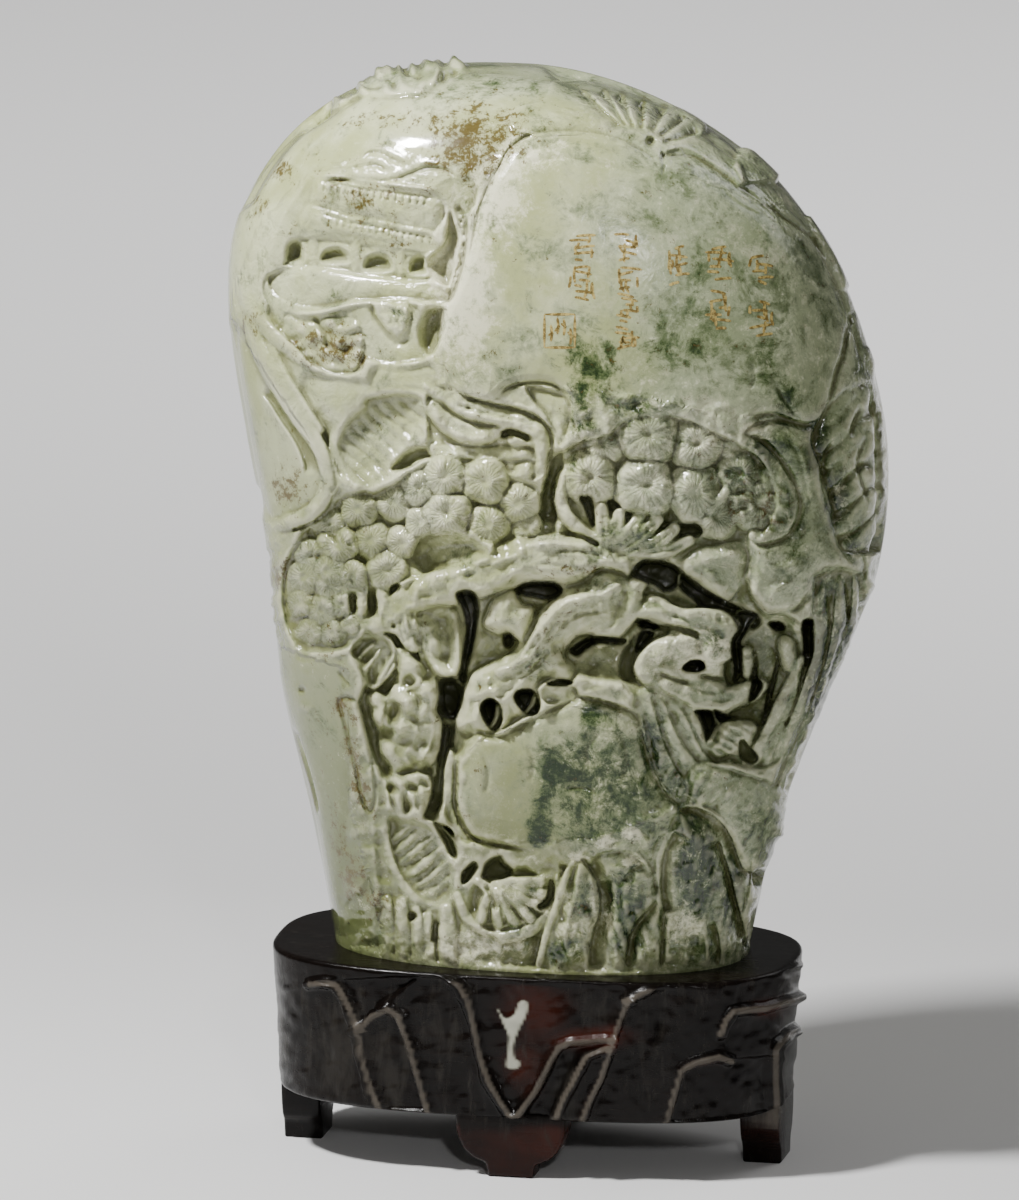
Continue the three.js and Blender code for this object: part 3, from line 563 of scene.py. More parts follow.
# Terrace under it, rocks on its edge and the ledge below.
face.shape([(-298, 704), (-283, 694), (-262, 688), (-235, 690), (-200, 700), (-150, 700), (-135, 690),
        (-128, 645), (-150, 636), (-175, 634), (-197, 640), (-212, 632), (-240, 640), (-266, 652),
        (-290, 668), (-302, 688)], [(0, 10), (10, 9)], soft=8)
face.limb([(-312, 730, 9, 4), (-308, 714, 9, 6), (-298, 702, 9, 7), (-282, 694, 9, 7), (-262, 689, 9, 8),
        (-235, 690, 8, 9), (-205, 699, 7, 10)], flat=0.4)
face.shape([(-290, 668), (-272, 650), (-252, 634), (-235, 625), (-215, 623), (-200, 630), (-195, 655),
        (-205, 685), (-235, 686), (-262, 683), (-282, 690)], [(0, 12), (7, 7), (20, 9)], soft=3,
        rough=(20, 3))
face.groove([(-255, 690), (-246, 676), (-240, 665), (-235, 648)], 6, 4)
face.limb([(-290, 660, 4, 3), (-282, 650, 5, 3), (-268, 638, 5, 3), (-250, 627, 5, 3), (-235, 620, 5, 3),
        (-215, 618, 5, 4), (-205, 621, 5, 4), (-196, 629, 4, 5)], flat=0.6)
face.groove([(-290, 652), (-278, 638), (-262, 626), (-243, 615), (-218, 608), (-195, 614)], 16, 5)
face.shape([(-190, 702), (-150, 704), (-143, 692), (-148, 672), (-160, 660), (-175, 672), (-188, 688)],
        [(0, 12), (6, 3)], soft=3, curved=False, tilt=(0, 0.1), rough=(9, 1.2))
face.shape([(-190, 702), (-168, 700), (-164, 690), (-180, 688)], 3, soft=2, curved=False, tilt=(0, -0.4))
face.groove([(-192, 700), (-182, 680), (-162, 657), (-146, 664)], 9, 4)
face.shape([(-110, 696), (-111, 672), (-118, 652), (-128, 644), (-137, 655), (-139, 675), (-130, 694)],
        [(0, 12), (10, 26)], soft=5)
face.shape([(-185, 632), (-150, 631), (-125, 636), (-112, 628), (-120, 606), (-150, 603), (-190, 604)],
        [(0, 8), (10, 5)], soft=10)
face.limb([(-186, 629, 4, 6), (-150, 631, 5, 6), (-122, 637, 5, 7), (-110, 650, 5, 7), (-104, 680, 4, 6)],
        flat=0.5)

# Water-worn lobes down the left.
face.shape([(-345, 670), (-325, 676), (-290, 650), (-262, 626), (-240, 614), (-200, 608), (-190, 590),
        (-216, 576), (-232, 548), (-224, 506), (-232, 488), (-246, 472), (-300, 465), (-325, 500),
        (-340, 560)], 5, soft=10)
face.shape([(-262, 622), (-265, 600), (-262, 577), (-245, 562), (-222, 572), (-205, 582), (-190, 596),
        (-190, 612), (-225, 620)], [(0, 8), (16, 5)], soft=12, tilt=(-0.06, 0.1))
for lobe in (
        [(-318, 640), (-300, 625), (-285, 600), (-270, 575), (-255, 555), (-245, 545), (-238, 528)],
        [(-312, 606), (-300, 592), (-288, 573), (-274, 552), (-264, 530), (-262, 512)],
        [(-266, 572), (-250, 560), (-240, 548), (-232, 535), (-225, 515), (-220, 506)],
        [(-221, 506), (-232, 490), (-240, 476), (-255, 470), (-275, 466), (-295, 470)],
        [(-278, 452), (-262, 456), (-243, 466)]):
    face.fold(lobe, 34, 12)
    face.groove(lobe, 7, -3)
for band in (
        [(-324, 690, 8, 0), (-312, 650, 9, -4), (-290, 610, 10, -5), (-268, 575, 10, -5), (-250, 550, 9, -4),
            (-240, 525, 8, -3), (-236, 505, 8, -1)],
        [(-302, 655, 7, 1), (-285, 618, 8, -2), (-262, 582, 8, -2), (-247, 563, 6, 1)],
        [(-237, 510, 7, 0), (-245, 484, 9, -3), (-262, 469, 9, -3), (-285, 461, 8, -2), (-304, 459, 7, 0)],
        [(-336, 742, 7, 0), (-327, 706, 8, -3), (-310, 680, 8, -4), (-290, 660, 8, -3), (-268, 640, 7, 0)]):
    face.limb(band, flat=0.8)

# Shell-shaped hollow with ridged walls.
niche = [(-190, 600), (-160, 604), (-138, 600), (-127, 582), (-124, 560), (-119, 540), (-132, 528),
        (-148, 522), (-160, 510), (-185, 497), (-207, 504), (-223, 523), (-229, 550), (-216, 574),
        (-202, 586)]
face.shape(niche, [(0, 6), (8, 14), (26, 19)], soft=6, tilt=(-0.08, 0.12))
face.flutes(niche, 36, 12, 3, soft=12, bend=6)
face.shape([(-168, 519), (-158, 536), (-142, 545), (-122, 543), (-120, 532), (-132, 528), (-150, 520)],
        [(0, 18), (7, 32)], soft=5)
face.limb([(-190, 603, 6, 5), (-165, 607, 6, 5), (-140, 604, 6, 6), (-126, 590, 6, 7), (-119, 568, 6, 8)])
face.limb([(-206, 502, 5, 8), (-222, 520, 6, 8), (-231, 548, 6, 8), (-219, 574, 6, 8), (-200, 590, 5, 8)])

# Clouds that roll along under the smooth face.
face.shape([(-128, 600), (-110, 610), (-88, 600), (-60, 592), (-35, 588), (-10, 578), (8, 560), (8, 540),
        (0, 515), (-30, 505), (-80, 520), (-125, 535), (-128, 560)], 20, soft=5)
for puff in (
        [(-128, 612, 9, 4), (-112, 600, 12, 3), (-92, 586, 13, 2), (-62, 577, 13, 2), (-35, 570, 13, 3),
            (-12, 562, 12, 4), (-3, 546, 10, 7), (-2, 526, 9, 10), (-10, 512, 8, 14)],
        [(-124, 588, 9, 6), (-108, 570, 11, 4), (-88, 560, 12, 4), (-66, 557, 11, 5), (-50, 566, 9, 6)],
        [(-34, 553, 8, 7), (-20, 553, 8, 8), (-10, 548, 7, 10)],
        [(-122, 541, 7, 13), (-95, 538, 8, 13), (-60, 536, 8, 13), (-30, 538, 8, 13), (-14, 533, 7, 15)],
        [(-122, 638, 7, 2), (-108, 622, 9, 2), (-98, 604, 9, 3), (-88, 590, 8, 4)]):
    face.limb(puff, bark=(22, 0.8))
face.groove([(-118, 596), (-100, 580), (-80, 571), (-60, 567), (-44, 566)], 6, 6)
face.groove([(-50, 557), (-38, 560), (-24, 556), (-16, 551)], 9, 26)
face.groove([(-100, 592), (-75, 584), (-50, 577), (-25, 572), (-10, 566)], 4, 3)
face.shape([(-38, 512), (-30, 528), (-18, 532), (-10, 522), (-14, 508), (-28, 503)], [(0, 20), (8, 11)],
        soft=4)
for arc in (
        [(-52, 600), (-38, 609), (-15, 614), (5, 612), (18, 605), (30, 594)],
        [(-50, 592), (-32, 597), (-14, 586)]):
    face.groove(arc, 6, 5)
face.shape([(-52, 597), (-40, 605), (-28, 609), (-20, 600), (-12, 588), (-25, 590), (-45, 590)], 3, soft=3)
face.shape([(-20, 610), (15, 603), (28, 590), (25, 560), (15, 545), (8, 560), (2, 577), (-10, 590)], [(0, 9),
        (8, 4)], soft=4, tilt=(-0.1, 0.05))

# Ground behind the pines and the scroll-shaped rocks.
face.shape([(-284, 415), (-272, 440), (-262, 455), (-240, 466), (-228, 488), (-200, 496), (-185, 496),
        (-160, 508), (-145, 520), (-120, 532), (-60, 522), (-10, 508), (6, 530), (34, 548), (66, 556),
        (90, 572), (112, 576), (150, 574), (180, 560), (208, 548), (236, 526), (250, 490), (240, 455),
        (222, 435), (215, 395), (175, 385), (150, 405), (90, 405), (70, 420), (20, 432), (-60, 425),
        (-110, 405), (-160, 395), (-175, 350), (-205, 345), (-262, 320), (-274, 332), (-284, 356),
        (-288, 385)], [(0, 12), (12, 22), (40, 27)], soft=6)
face.rough([(-120, 470), (0, 500), (60, 560), (200, 560), (240, 470), (100, 440), (-40, 440)], 14, 3)
face.shape([(-150, 395), (-60, 415), (20, 400), (90, 420), (225, 400), (245, 372), (275, 355), (300, 310),
        (280, 250), (252, 200), (205, 200), (172, 240), (112, 282), (60, 290), (-20, 300), (-60, 250),
        (-105, 180), (-125, 130), (-170, 170), (-205, 260), (-205, 330)], [(0, 16), (14, 33), (40, 44)],
        soft=8)

# Left pine: cushions of needles, stems, hanging limbs and its leafy shelf.
for u0, v0, radius, level, needles in ((-165, 484, 23, 14, 20), (-205, 477, 25, 12, 22),
        (-234, 462, 18, 13, 16), (-190, 442, 24, 15, 24), (-156, 440, 20, 12, 16), (-226, 436, 25, 9, 20),
        (-257, 426, 21, 11, 16), (-267, 402, 20, 10, 16), (-238, 409, 23, 8, 22), (-211, 404, 19, 10, 16),
        (-172, 410, 24, 9, 18), (-138, 500, 22, 9, 20), (-30, 482, 25, 9, 22), (-20, 456, 18, 15, 14),
        (-62, 459, 25, 7, 20), (-136, 462, 19, 11, 16), (-110, 512, 27, 5, 26), (-65, 507, 28, 4, 26),
        (-107, 470, 29, 3, 30)):
    face.cushion(u0, v0, radius, level - 5, needles=needles, pit=3, seed=u0)
face.shape([(-278, 418), (-262, 398), (-240, 394), (-215, 390), (-198, 385), (-200, 345), (-215, 325),
        (-262, 320), (-276, 334), (-284, 358), (-286, 385)], [(0, 10), (12, 14)], soft=6)
leafPatch = {"u": (-268, -212), "v": (402, 462), "turn": (-0.5, 1.0), "half": 6, "length": 13}
for k in range(26):
    chance = random.Random(k)
    u0, v0 = chance.uniform(*leafPatch["u"]), chance.uniform(*leafPatch["v"])
    turned = chance.uniform(*leafPatch["turn"])
    leaf = [(u0 + reach * math.sin(turned), v0 - reach * math.cos(turned))
            for reach in (0, leafPatch["half"], leafPatch["length"])]
    face.groove(leaf, 4, 2.6, taper=0.4)
face.flutes([(-282, 388), (-262, 400), (-215, 394), (-200, 385), (-205, 345), (-245, 328), (-272, 338),
        (-284, 360)], 76, 13, 3.4, soft=9, bend=9)
for u0, v0, radius in ((-264, 402, 21), (-236, 396, 19), (-268, 374, 17), (-244, 366, 19), (-221, 372, 14),
        (-258, 343, 16), (-232, 341, 16), (-213, 350, 11)):
    face.cushion(u0, v0, radius, 4, sag=0.7, needles=16, pit=2, seed=v0)
for stem in (
        [(-199, 392, 7, 14), (-200, 372, 6, 14), (-202, 350, 7, 12)],
        [(-178, 396, 7, 14), (-177, 376, 6, 14), (-175, 354, 7, 12)],
        [(-150, 392, 14, 12), (-153, 368, 13, 10), (-150, 345, 14, 10), (-144, 328, 10, 14)],
        [(-132, 368, 8, 22), (-134, 345, 9, 20), (-130, 318, 9, 22), (-124, 300, 8, 26)]):
    face.limb(stem, bark=(12, 1))
face.limb([(-215, 352, 9, 12), (-195, 350, 10, 10), (-172, 350, 9, 12), (-158, 345, 8, 14)])
for slot in ([(-190, 392), (-189, 376), (-187, 358)], [(-211, 388), (-210, 374), (-208, 360)]):
    face.groove(slot, 10, 20, taper=0.4)
face.pit(-162, 386, 8, 50, 1.3)
face.groove([(-165, 372), (-166, 358), (-165, 345)], 5, 12)
for streak in ([(-155, 372), (-158, 345), (-152, 328)], [(-146, 375), (-144, 350), (-136, 325)]):
    face.groove(streak, 4, 4)
face.shape([(-212, 318), (-204, 336), (-176, 341), (-163, 327), (-160, 310), (-170, 294), (-185, 280),
        (-196, 284), (-199, 300)], [(0, 14), (8, 26)], soft=4)
for vein in (
        [(-197, 298), (-190, 310), (-179, 323)],
        [(-183, 288), (-174, 302), (-164, 319)],
        [(-205, 312), (-196, 322), (-186, 331)]):
    face.groove(vein, 6, -8)

# The cloud-shaped notch under it and the bough that crosses to the right.
face.shape([(-145, 426), (-138, 442), (-125, 449), (-95, 452), (-80, 450), (-66, 441), (-56, 436), (-61, 424),
        (-75, 417), (-95, 411), (-110, 405), (-127, 404), (-140, 413)], [(0, 12), (14, 26)], soft=8,
        tilt=(-0.42, 0))
face.limb([(-168, 362, 13, 12), (-155, 374, 17, 8), (-138, 384, 20, 4), (-115, 389, 21, 2), (-90, 397, 22, 1),
        (-62, 406, 24, 0), (-32, 418, 27, 0), (0, 423, 29, 0), (35, 420, 25, 1), (58, 418, 21, 3),
        (80, 414, 15, 7)], bark=(30, 1.2), flat=0.8)
for twist in ([(-60, 415), (-45, 421), (-30, 427)], [(-20, 436), (5, 440), (30, 436)]):
    face.groove(twist, 7, -4)
for crack in (
        [(-15, 418), (10, 415), (35, 412), (52, 407)],
        [(-20, 408), (5, 406), (30, 404)],
        [(10, 431), (30, 432), (50, 426)],
        [(-110, 396), (-95, 402), (-75, 408)],
        [(-140, 380), (-125, 384)]):
    face.groove(crack, 7, 2.4)

# Deep hollows under the bough.
face.shape([(-97, 384), (-84, 388), (-75, 382), (-72, 366), (-75, 345), (-79, 325), (-84, 305), (-89, 283),
        (-95, 290), (-93, 310), (-88, 330), (-87, 350), (-91, 368)], [(0, 50), (6, 92)], soft=3)
face.shape([(-130, 365), (-112, 372), (-98, 366), (-92, 345), (-90, 318), (-95, 295), (-112, 292),
        (-124, 305), (-130, 335)], [(0, 18), (16, 30)], soft=10, tilt=(0.1, 0.25), rough=(30, 3))
face.shape([(-116, 288), (-102, 293), (-91, 286), (-88, 265), (-95, 249), (-108, 247), (-116, 262)], [(0, 50),
        (7, 82)], soft=4)
face.groove([(-106, 250), (-108, 230), (-110, 215), (-109, 195), (-113, 175), (-119, 155), (-126, 142)], 20,
        30)
face.shape([(-122, 130), (-108, 130), (-98, 120), (-93, 108), (-100, 96), (-111, 90), (-117, 105)], 62,
        soft=5)

# Gnarled trunk that climbs from the lower left to the bough.
face.shape([(-98, 238), (-92, 265), (-87, 285), (-77, 300), (-50, 313), (-34, 323), (-26, 340), (-10, 363),
        (4, 376), (18, 388), (40, 398), (60, 412), (80, 409), (98, 397), (93, 375), (85, 350), (70, 337),
        (45, 340), (28, 331), (22, 316), (35, 302), (28, 288), (5, 290), (-8, 281), (-5, 268), (-8, 255),
        (-25, 248), (-50, 233), (-75, 227)], [(0, 26), (6, 15), (16, 8), (30, 4)], soft=4, rough=(14, 1.5))
face.limb([(-50, 298, 6, 3), (-35, 303, 7, 2), (-20, 315, 8, 1), (-8, 335, 8, 0), (3, 355, 8, 0),
        (28, 374, 8, 0), (55, 381, 7, 1), (78, 390, 6, 3)], bark=(10, 0.8))
for crack in (
        [(-78, 298), (-60, 309), (-44, 314)],
        [(-30, 290), (-10, 305), (5, 325)],
        [(10, 330), (20, 350), (40, 362), (65, 365)],
        [(-85, 262), (-65, 272), (-40, 272)]):
    face.groove(crack, 6, 4.5)
face.shape([(-68, 350), (-63, 366), (-55, 381), (-36, 389), (-25, 374), (-12, 369), (-13, 350), (-25, 331),
        (-40, 341), (-53, 340)], [(0, 22), (6, 11), (16, 4)], soft=4)
face.limb([(104, 398, 9, 12), (97, 388, 11, 8), (94, 372, 12, 6), (86, 358, 12, 6), (74, 344, 11, 8),
        (60, 334, 9, 14)], ribs=(2, 1.2))
face.shape([(150, 420), (165, 433), (185, 437), (200, 441), (215, 440), (224, 425), (219, 405), (212, 390),
        (200, 375), (190, 370), (175, 385), (165, 398), (150, 408)], [(0, 20), (15, 8)], soft=4,
        tilt=(0.05, -0.1))
for hole in (
        [(95, 405), (103, 419), (125, 421), (145, 413), (150, 400), (140, 388), (130, 385), (120, 393),
            (105, 399)],
        [(148, 408), (165, 395), (190, 380), (222, 366), (235, 355), (225, 345), (205, 360), (190, 364),
            (172, 367), (160, 378), (145, 392)],
        [(-32, 389), (-22, 396), (-5, 398), (12, 396), (19, 388), (12, 380), (0, 377), (-14, 380),
            (-28, 383)],
        [(26, 322), (36, 332), (50, 338), (70, 337), (89, 335), (86, 329), (72, 329), (58, 330), (46, 324),
            (35, 316)],
        [(100, 354), (115, 358), (127, 350), (120, 343), (105, 345)],
        [(-34, 272), (-28, 279), (-14, 279), (-7, 267), (-9, 254), (-19, 252), (-29, 262)],
        [(2, 286), (15, 290), (30, 287), (15, 283)],
        [(-71, 259), (-66, 268), (-56, 269), (-48, 259), (-48, 243), (-56, 235), (-65, 244)]):
    face.shape(hole, [(0, 45), (5, 80)], soft=3)
face.limb([(-58, 240, 3, 30), (-53, 250, 4, 34), (-52, 262, 3, 40)])
face.limb([(-20, 256, 3, 32), (-14, 264, 4, 34), (-12, 274, 3, 40)])
face.pit(-40, 333, 7, 26, 1.4)
face.shape([(0, 282), (30, 283), (34, 270), (10, 264), (-4, 268)], 14, soft=4, tilt=(0, 0.3))

# Right pine.
for u0, v0, radius, level, needles in ((60, 548, 28, 9, 22), (206, 541, 22, 10, 16), (186, 468, 27, 8, 24),
        (216, 480, 24, 8, 18), (48, 512, 35, 5, 26), (212, 515, 28, 5, 24), (165, 549, 34, 2, 26),
        (163, 494, 35, 2, 28), (110, 502, 37, 1, 30), (112, 559, 37, -4, 30)):
    face.cushion(u0, v0, radius, level - 4, needles=needles, pit=5, seed=u0)
face.cushion(235, 482, 34, 2, sag=0.5, needles=30, pit=3, seed=3)
face.rough([(195, 512), (225, 520), (262, 510), (270, 480), (262, 452), (225, 450), (200, 470)], 14, 1.4)
face.limb([(228, 448, 7, 4), (246, 444, 8, 3), (262, 452, 7, 4), (272, 470, 6, 6)])
face.limb([(236, 516, 6, 4), (242, 500, 7, 3), (240, 482, 6, 5)])
face.limb([(182, 474, 5, 3), (190, 485, 5, 3), (197, 497, 5, 4)])
face.limb([(18, 512, 7, 8), (15, 495, 8, 7), (20, 476, 8, 6), (30, 461, 8, 6), (45, 448, 8, 6),
        (62, 440, 7, 8)])
for slot in (
        [(37, 490), (50, 489), (55, 470), (59, 455), (50, 459), (43, 475)],
        [(68, 485), (78, 484), (85, 475), (95, 470), (98, 458), (92, 454), (86, 465), (74, 470)],
        [(127, 463), (150, 461), (166, 460), (171, 450), (155, 444), (130, 451)]):
    face.shape(slot, [(0, 30), (5, 62)], soft=3)
for petal in (
        [(62, 428, 9, 8), (64, 450, 10, 6), (61, 476, 8, 8)],
        [(68, 430, 9, 8), (76, 448, 9, 5), (80, 470, 8, 8)],
        [(76, 432, 9, 8), (90, 448, 9, 5), (102, 467, 8, 8)],
        [(84, 434, 9, 8), (104, 446, 9, 5), (121, 464, 8, 8)],
        [(92, 432, 9, 9), (118, 438, 9, 6), (140, 454, 8, 9)],
        [(100, 430, 7, 10), (130, 430, 8, 8), (156, 442, 7, 10)]):
    face.limb(petal, ribs=(1, 1.8))
    face.groove([(a, b) for a, b, _, _ in petal], 3, 2.5)
face.groove([(22, 450), (33, 449), (42, 446), (60, 436)], 7, 14)
face.groove([(12, 545), (9, 515), (3, 485), (6, 458)], 20, 22)

# Rock face right of the pine, and the foliage on the right edge.
face.shape([(222, 442), (225, 425), (222, 410), (221, 395), (226, 380), (236, 366), (248, 362), (275, 366),
        (298, 388), (328, 400), (350, 400), (345, 440), (326, 436), (317, 458), (304, 500), (302, 545),
        (298, 566), (282, 568), (255, 575), (228, 570), (216, 558), (236, 548), (258, 524), (274, 492),
        (274, 468), (262, 448), (240, 439)], [(0, 11), (7, 1), (30, -3)], soft=4, rough=(60, 1.5))
face.fold([(300, 566), (303, 530), (308, 490), (316, 455), (325, 428), (350, 402)], 14, 6)
face.groove([(262, 556), (274, 538), (282, 512), (284, 488)], 5, 2)
face.shape([(300, 575), (320, 600), (345, 612), (375, 600), (390, 520), (385, 440), (330, 430), (316, 455),
        (308, 500), (290, 550)], [(0, 22), (8, 16)], soft=5)
for tuft in (
        [(306, 562, 10, 10), (318, 585, 12, 6), (334, 606, 12, 2)],
        [(300, 545, 9, 10), (320, 560, 11, 5), (340, 585, 11, 4), (352, 605, 9, 2)],
        [(306, 528, 9, 10), (326, 540, 10, 6), (348, 566, 10, 4)],
        [(308, 506, 9, 10), (328, 524, 10, 7), (350, 545, 11, 4), (360, 570, 9, 3)],
        [(312, 480, 9, 10), (330, 492, 11, 7), (352, 512, 11, 4)],
        [(320, 456, 9, 9), (338, 465, 11, 6), (358, 488, 11, 4)],
        [(330, 436, 9, 8), (350, 446, 11, 5), (368, 466, 9, 5)]):
    face.limb(tuft, ribs=(1, 1.6))
for slit in (
        [(345, 592), (336, 572), (331, 552)],
        [(320, 556), (306, 540), (301, 512), (312, 482), (322, 460)],
        [(352, 560), (340, 530), (346, 500), (356, 478)],
        [(366, 600), (364, 570), (360, 545)]):
    face.fold(slit, 13, 9, taper=0.25)
    face.groove(slit, 5, 5, taper=0.3)
face.limb([(352, 650, 7, -2), (362, 622, 8, -3), (370, 590, 8, -3), (376, 550, 8, -3), (380, 500, 8, -2),
        (380, 460, 7, -1)])

# Scroll-shaped rocks and the strands that fall on the right.
face.shape([(103, 372), (112, 384), (130, 380), (150, 368), (190, 369), (207, 357), (209, 342), (202, 326),
        (196, 300), (204, 284), (238, 291), (237, 272), (215, 261), (192, 250), (174, 249), (158, 257),
        (136, 268), (110, 279), (97, 294), (97, 311), (106, 326), (126, 335), (134, 345), (116, 352),
        (102, 361)], [(0, 26), (6, 14), (14, 8)], soft=3, rough=(24, 2))
face.limb([(104, 366, 9, 8), (122, 366, 11, 6), (150, 358, 11, 4), (178, 358, 11, 4), (198, 348, 11, 4),
        (197, 332, 11, 5)], bark=(18, 0.8))
face.cushion(186, 324, 20, 2, sag=0.5, squash=0.9, seed=2)
face.limb([(160, 330, 11, 5), (138, 328, 13, 3), (118, 318, 13, 2), (109, 303, 13, 2), (118, 288, 13, 3),
        (138, 281, 12, 4), (158, 271, 12, 3), (176, 264, 12, 3), (196, 268, 12, 5), (216, 277, 11, 8),
        (236, 284, 8, 12)], bark=(20, 1))
face.cushion(143, 307, 17, 9, sag=0.4, seed=4)
face.groove([(120, 348), (140, 347), (158, 342), (170, 338)], 8, 12)
face.groove([(166, 296), (182, 292), (196, 290)], 7, 10)
face.groove([(124, 298), (140, 291), (158, 286)], 6, 6)
face.groove([(138, 361), (150, 357), (162, 352)], 5, 4)
face.groove([(112, 338), (96, 324), (88, 305), (94, 288), (110, 275), (135, 264), (158, 254)], 19, 18)
for slot in (
        [(203, 331), (206, 300), (204, 288), (212, 291), (216, 310), (214, 330), (222, 345), (232, 362),
            (208, 366), (212, 348)],
        [(226, 326), (232, 310), (232, 295), (237, 285), (230, 271), (222, 266), (226, 290), (224, 310)],
        [(246, 329), (252, 315), (248, 295), (243, 280), (240, 262), (236, 240), (244, 244), (248, 270),
            (254, 295), (256, 316)],
        [(243, 352), (255, 354), (262, 346), (253, 343)],
        [(280, 352), (288, 357), (295, 350), (294, 320), (290, 300), (284, 310), (282, 330)],
        [(150, 250), (165, 257), (182, 256), (187, 243), (181, 231), (172, 215), (169, 230), (167, 243),
            (155, 244)],
        [(184, 258), (200, 251), (211, 250), (205, 244), (188, 245)],
        [(98, 330), (106, 345), (120, 342), (112, 330), (98, 318)],
        [(150, 302), (158, 311), (170, 311), (174, 303), (164, 299)]):
    face.shape(slot, [(0, 44), (4, 84)], soft=3)
face.groove([(328, 386), (335, 375), (343, 361)], 8, 18)
face.limb([(220, 322, 6, 14), (221, 310, 7, 12), (220, 296, 5, 16)])
face.shape([(255, 338), (270, 336), (276, 315), (269, 299), (260, 302), (254, 320)], [(0, 24), (7, 12)],
        soft=3)
face.shape([(292, 404), (345, 408), (352, 350), (334, 292), (300, 215), (268, 128), (240, 140), (262, 215),
        (282, 262), (292, 310)], [(0, 4), (8, 19)], soft=5, how="sink")
for strand in (
        [(322, 402, 4, 14), (322, 350, 9, 3), (316, 320, 8, 2), (308, 290, 8, 1), (299, 262, 8, 1),
            (290, 238, 9, 2), (279, 212, 9, 2), (268, 186, 9, 3), (258, 160, 8, 4), (252, 140, 7, 5)],
        [(301, 398, 4, 14), (301, 350, 9, 7), (299, 320, 7, 7), (294, 300, 8, 6), (285, 270, 9, 5),
            (274, 242, 9, 5), (262, 215, 9, 6), (250, 178, 8, 8)],
        [(338, 404, 3, 12), (341, 360, 8, 1), (332, 328, 7, 0), (321, 300, 7, -1), (308, 264, 7, -1),
            (290, 232, 7, 2)],
        [(280, 314, 4, 18), (262, 266, 11, 8), (250, 242, 10, 8), (238, 220, 9, 9), (222, 195, 9, 10)],
        [(258, 236, 7, 10), (250, 214, 8, 9), (240, 190, 8, 9), (228, 165, 8, 10)]):
    face.limb(strand, ribs=(2, 1.6))
face.shape([(172, 215), (185, 226), (190, 240), (200, 246), (225, 246), (233, 235), (223, 215), (205, 205),
        (185, 200)], [(0, 22), (7, 8)], soft=3)
face.flutes([(172, 215), (190, 243), (228, 246), (223, 213), (188, 200)], 60, 9, 4, soft=5)
face.shape([(214, 225), (224, 216), (232, 205), (225, 199), (213, 207)], 46, soft=3)
face.shape([(96, 262), (112, 286), (136, 274), (165, 256), (176, 232), (184, 205), (205, 200), (168, 196),
        (156, 150), (134, 128), (112, 200)], [(0, 14), (12, 9)], soft=8)
for line in (
        [(104, 262), (110, 226), (118, 195), (134, 168), (152, 150)],
        [(114, 275), (124, 240), (134, 210), (152, 180)],
        [(128, 272), (138, 244), (150, 220), (168, 198)],
        [(146, 264), (158, 240), (170, 215), (184, 200)]):
    face.fold(line, 15, 8, taper=0.1)
    face.groove(line, 5, -2)

# Column of water-worn rock at the lower left, with ropes beside it.
face.shape([(-300, 330), (-262, 320), (-225, 316), (-212, 318), (-200, 300), (-196, 284), (-206, 262),
        (-213, 240), (-210, 205), (-214, 160), (-220, 60), (-232, 0), (-262, -10), (-300, 120)], [(0, 3),
        (12, 1), (40, 4)], soft=8)
face.cushion(-263, 260, 13, 1, sag=0.6, squash=0.8)
face.pit(-266, 279, 5, 6)
face.groove([(-226, 300), (-220, 292), (-214, 283)], 5, 4)
face.groove([(-280, 238), (-271, 215), (-262, 190), (-255, 165), (-250, 140)], 7, 7)
face.shape([(-226, 270), (-206, 268), (-197, 240), (-189, 205), (-184, 168), (-189, 146), (-198, 150),
        (-206, 180), (-213, 215), (-221, 245)], [(0, 8), (5, 1)], soft=4)
face.groove([(-196, 262), (-190, 230), (-183, 195), (-178, 165), (-178, 140)], 12, 6)
face.shape([(-197, 275), (-185, 279), (-175, 276), (-166, 286), (-163, 300), (-163, 325), (-150, 323),
        (-140, 313), (-125, 301), (-118, 290), (-115, 275), (-118, 258), (-112, 245), (-113, 220),
        (-118, 205), (-125, 195), (-135, 188), (-150, 188), (-160, 184), (-168, 178), (-173, 190),
        (-179, 212), (-188, 240), (-195, 258)], [(0, 26), (7, 13), (16, 9)], soft=4)
for crease, width, depth in (
        ([(-162, 301), (-163, 292), (-162, 284)], 9, 5),
        ([(-160, 268), (-165, 250), (-168, 228)], 15, 8),
        ([(-130, 240), (-137, 216), (-150, 200)], 18, 10),
        ([(-152, 295), (-143, 285)], 13, 8),
        ([(-138, 280), (-131, 262), (-140, 245)], 10, -6)):
    face.groove(crease, width, depth)
for fold in (
        [(-120, 250), (-122, 225), (-132, 205), (-150, 196)],
        [(-172, 270), (-178, 245), (-180, 220)],
        [(-128, 300), (-140, 282), (-156, 276)]):
    face.fold(fold, 14, 6)
face.rough([(-195, 258), (-175, 276), (-160, 320), (-140, 313), (-115, 275), (-113, 220), (-135, 188),
        (-168, 178), (-188, 240)], 24, 7)
face.shape([(-171, 184), (-150, 188), (-127, 186), (-124, 165), (-130, 146), (-138, 134), (-150, 132),
        (-160, 140), (-168, 155)], [(0, 12), (9, 4)], soft=5)
for dip in ([(-154, 172), (-152, 155), (-150, 136)], [(-141, 176), (-140, 158), (-141, 140)]):
    face.groove(dip, 6, 4)
face.rough([(-171, 184), (-127, 186), (-130, 146), (-150, 132), (-168, 155)], 17, 5)

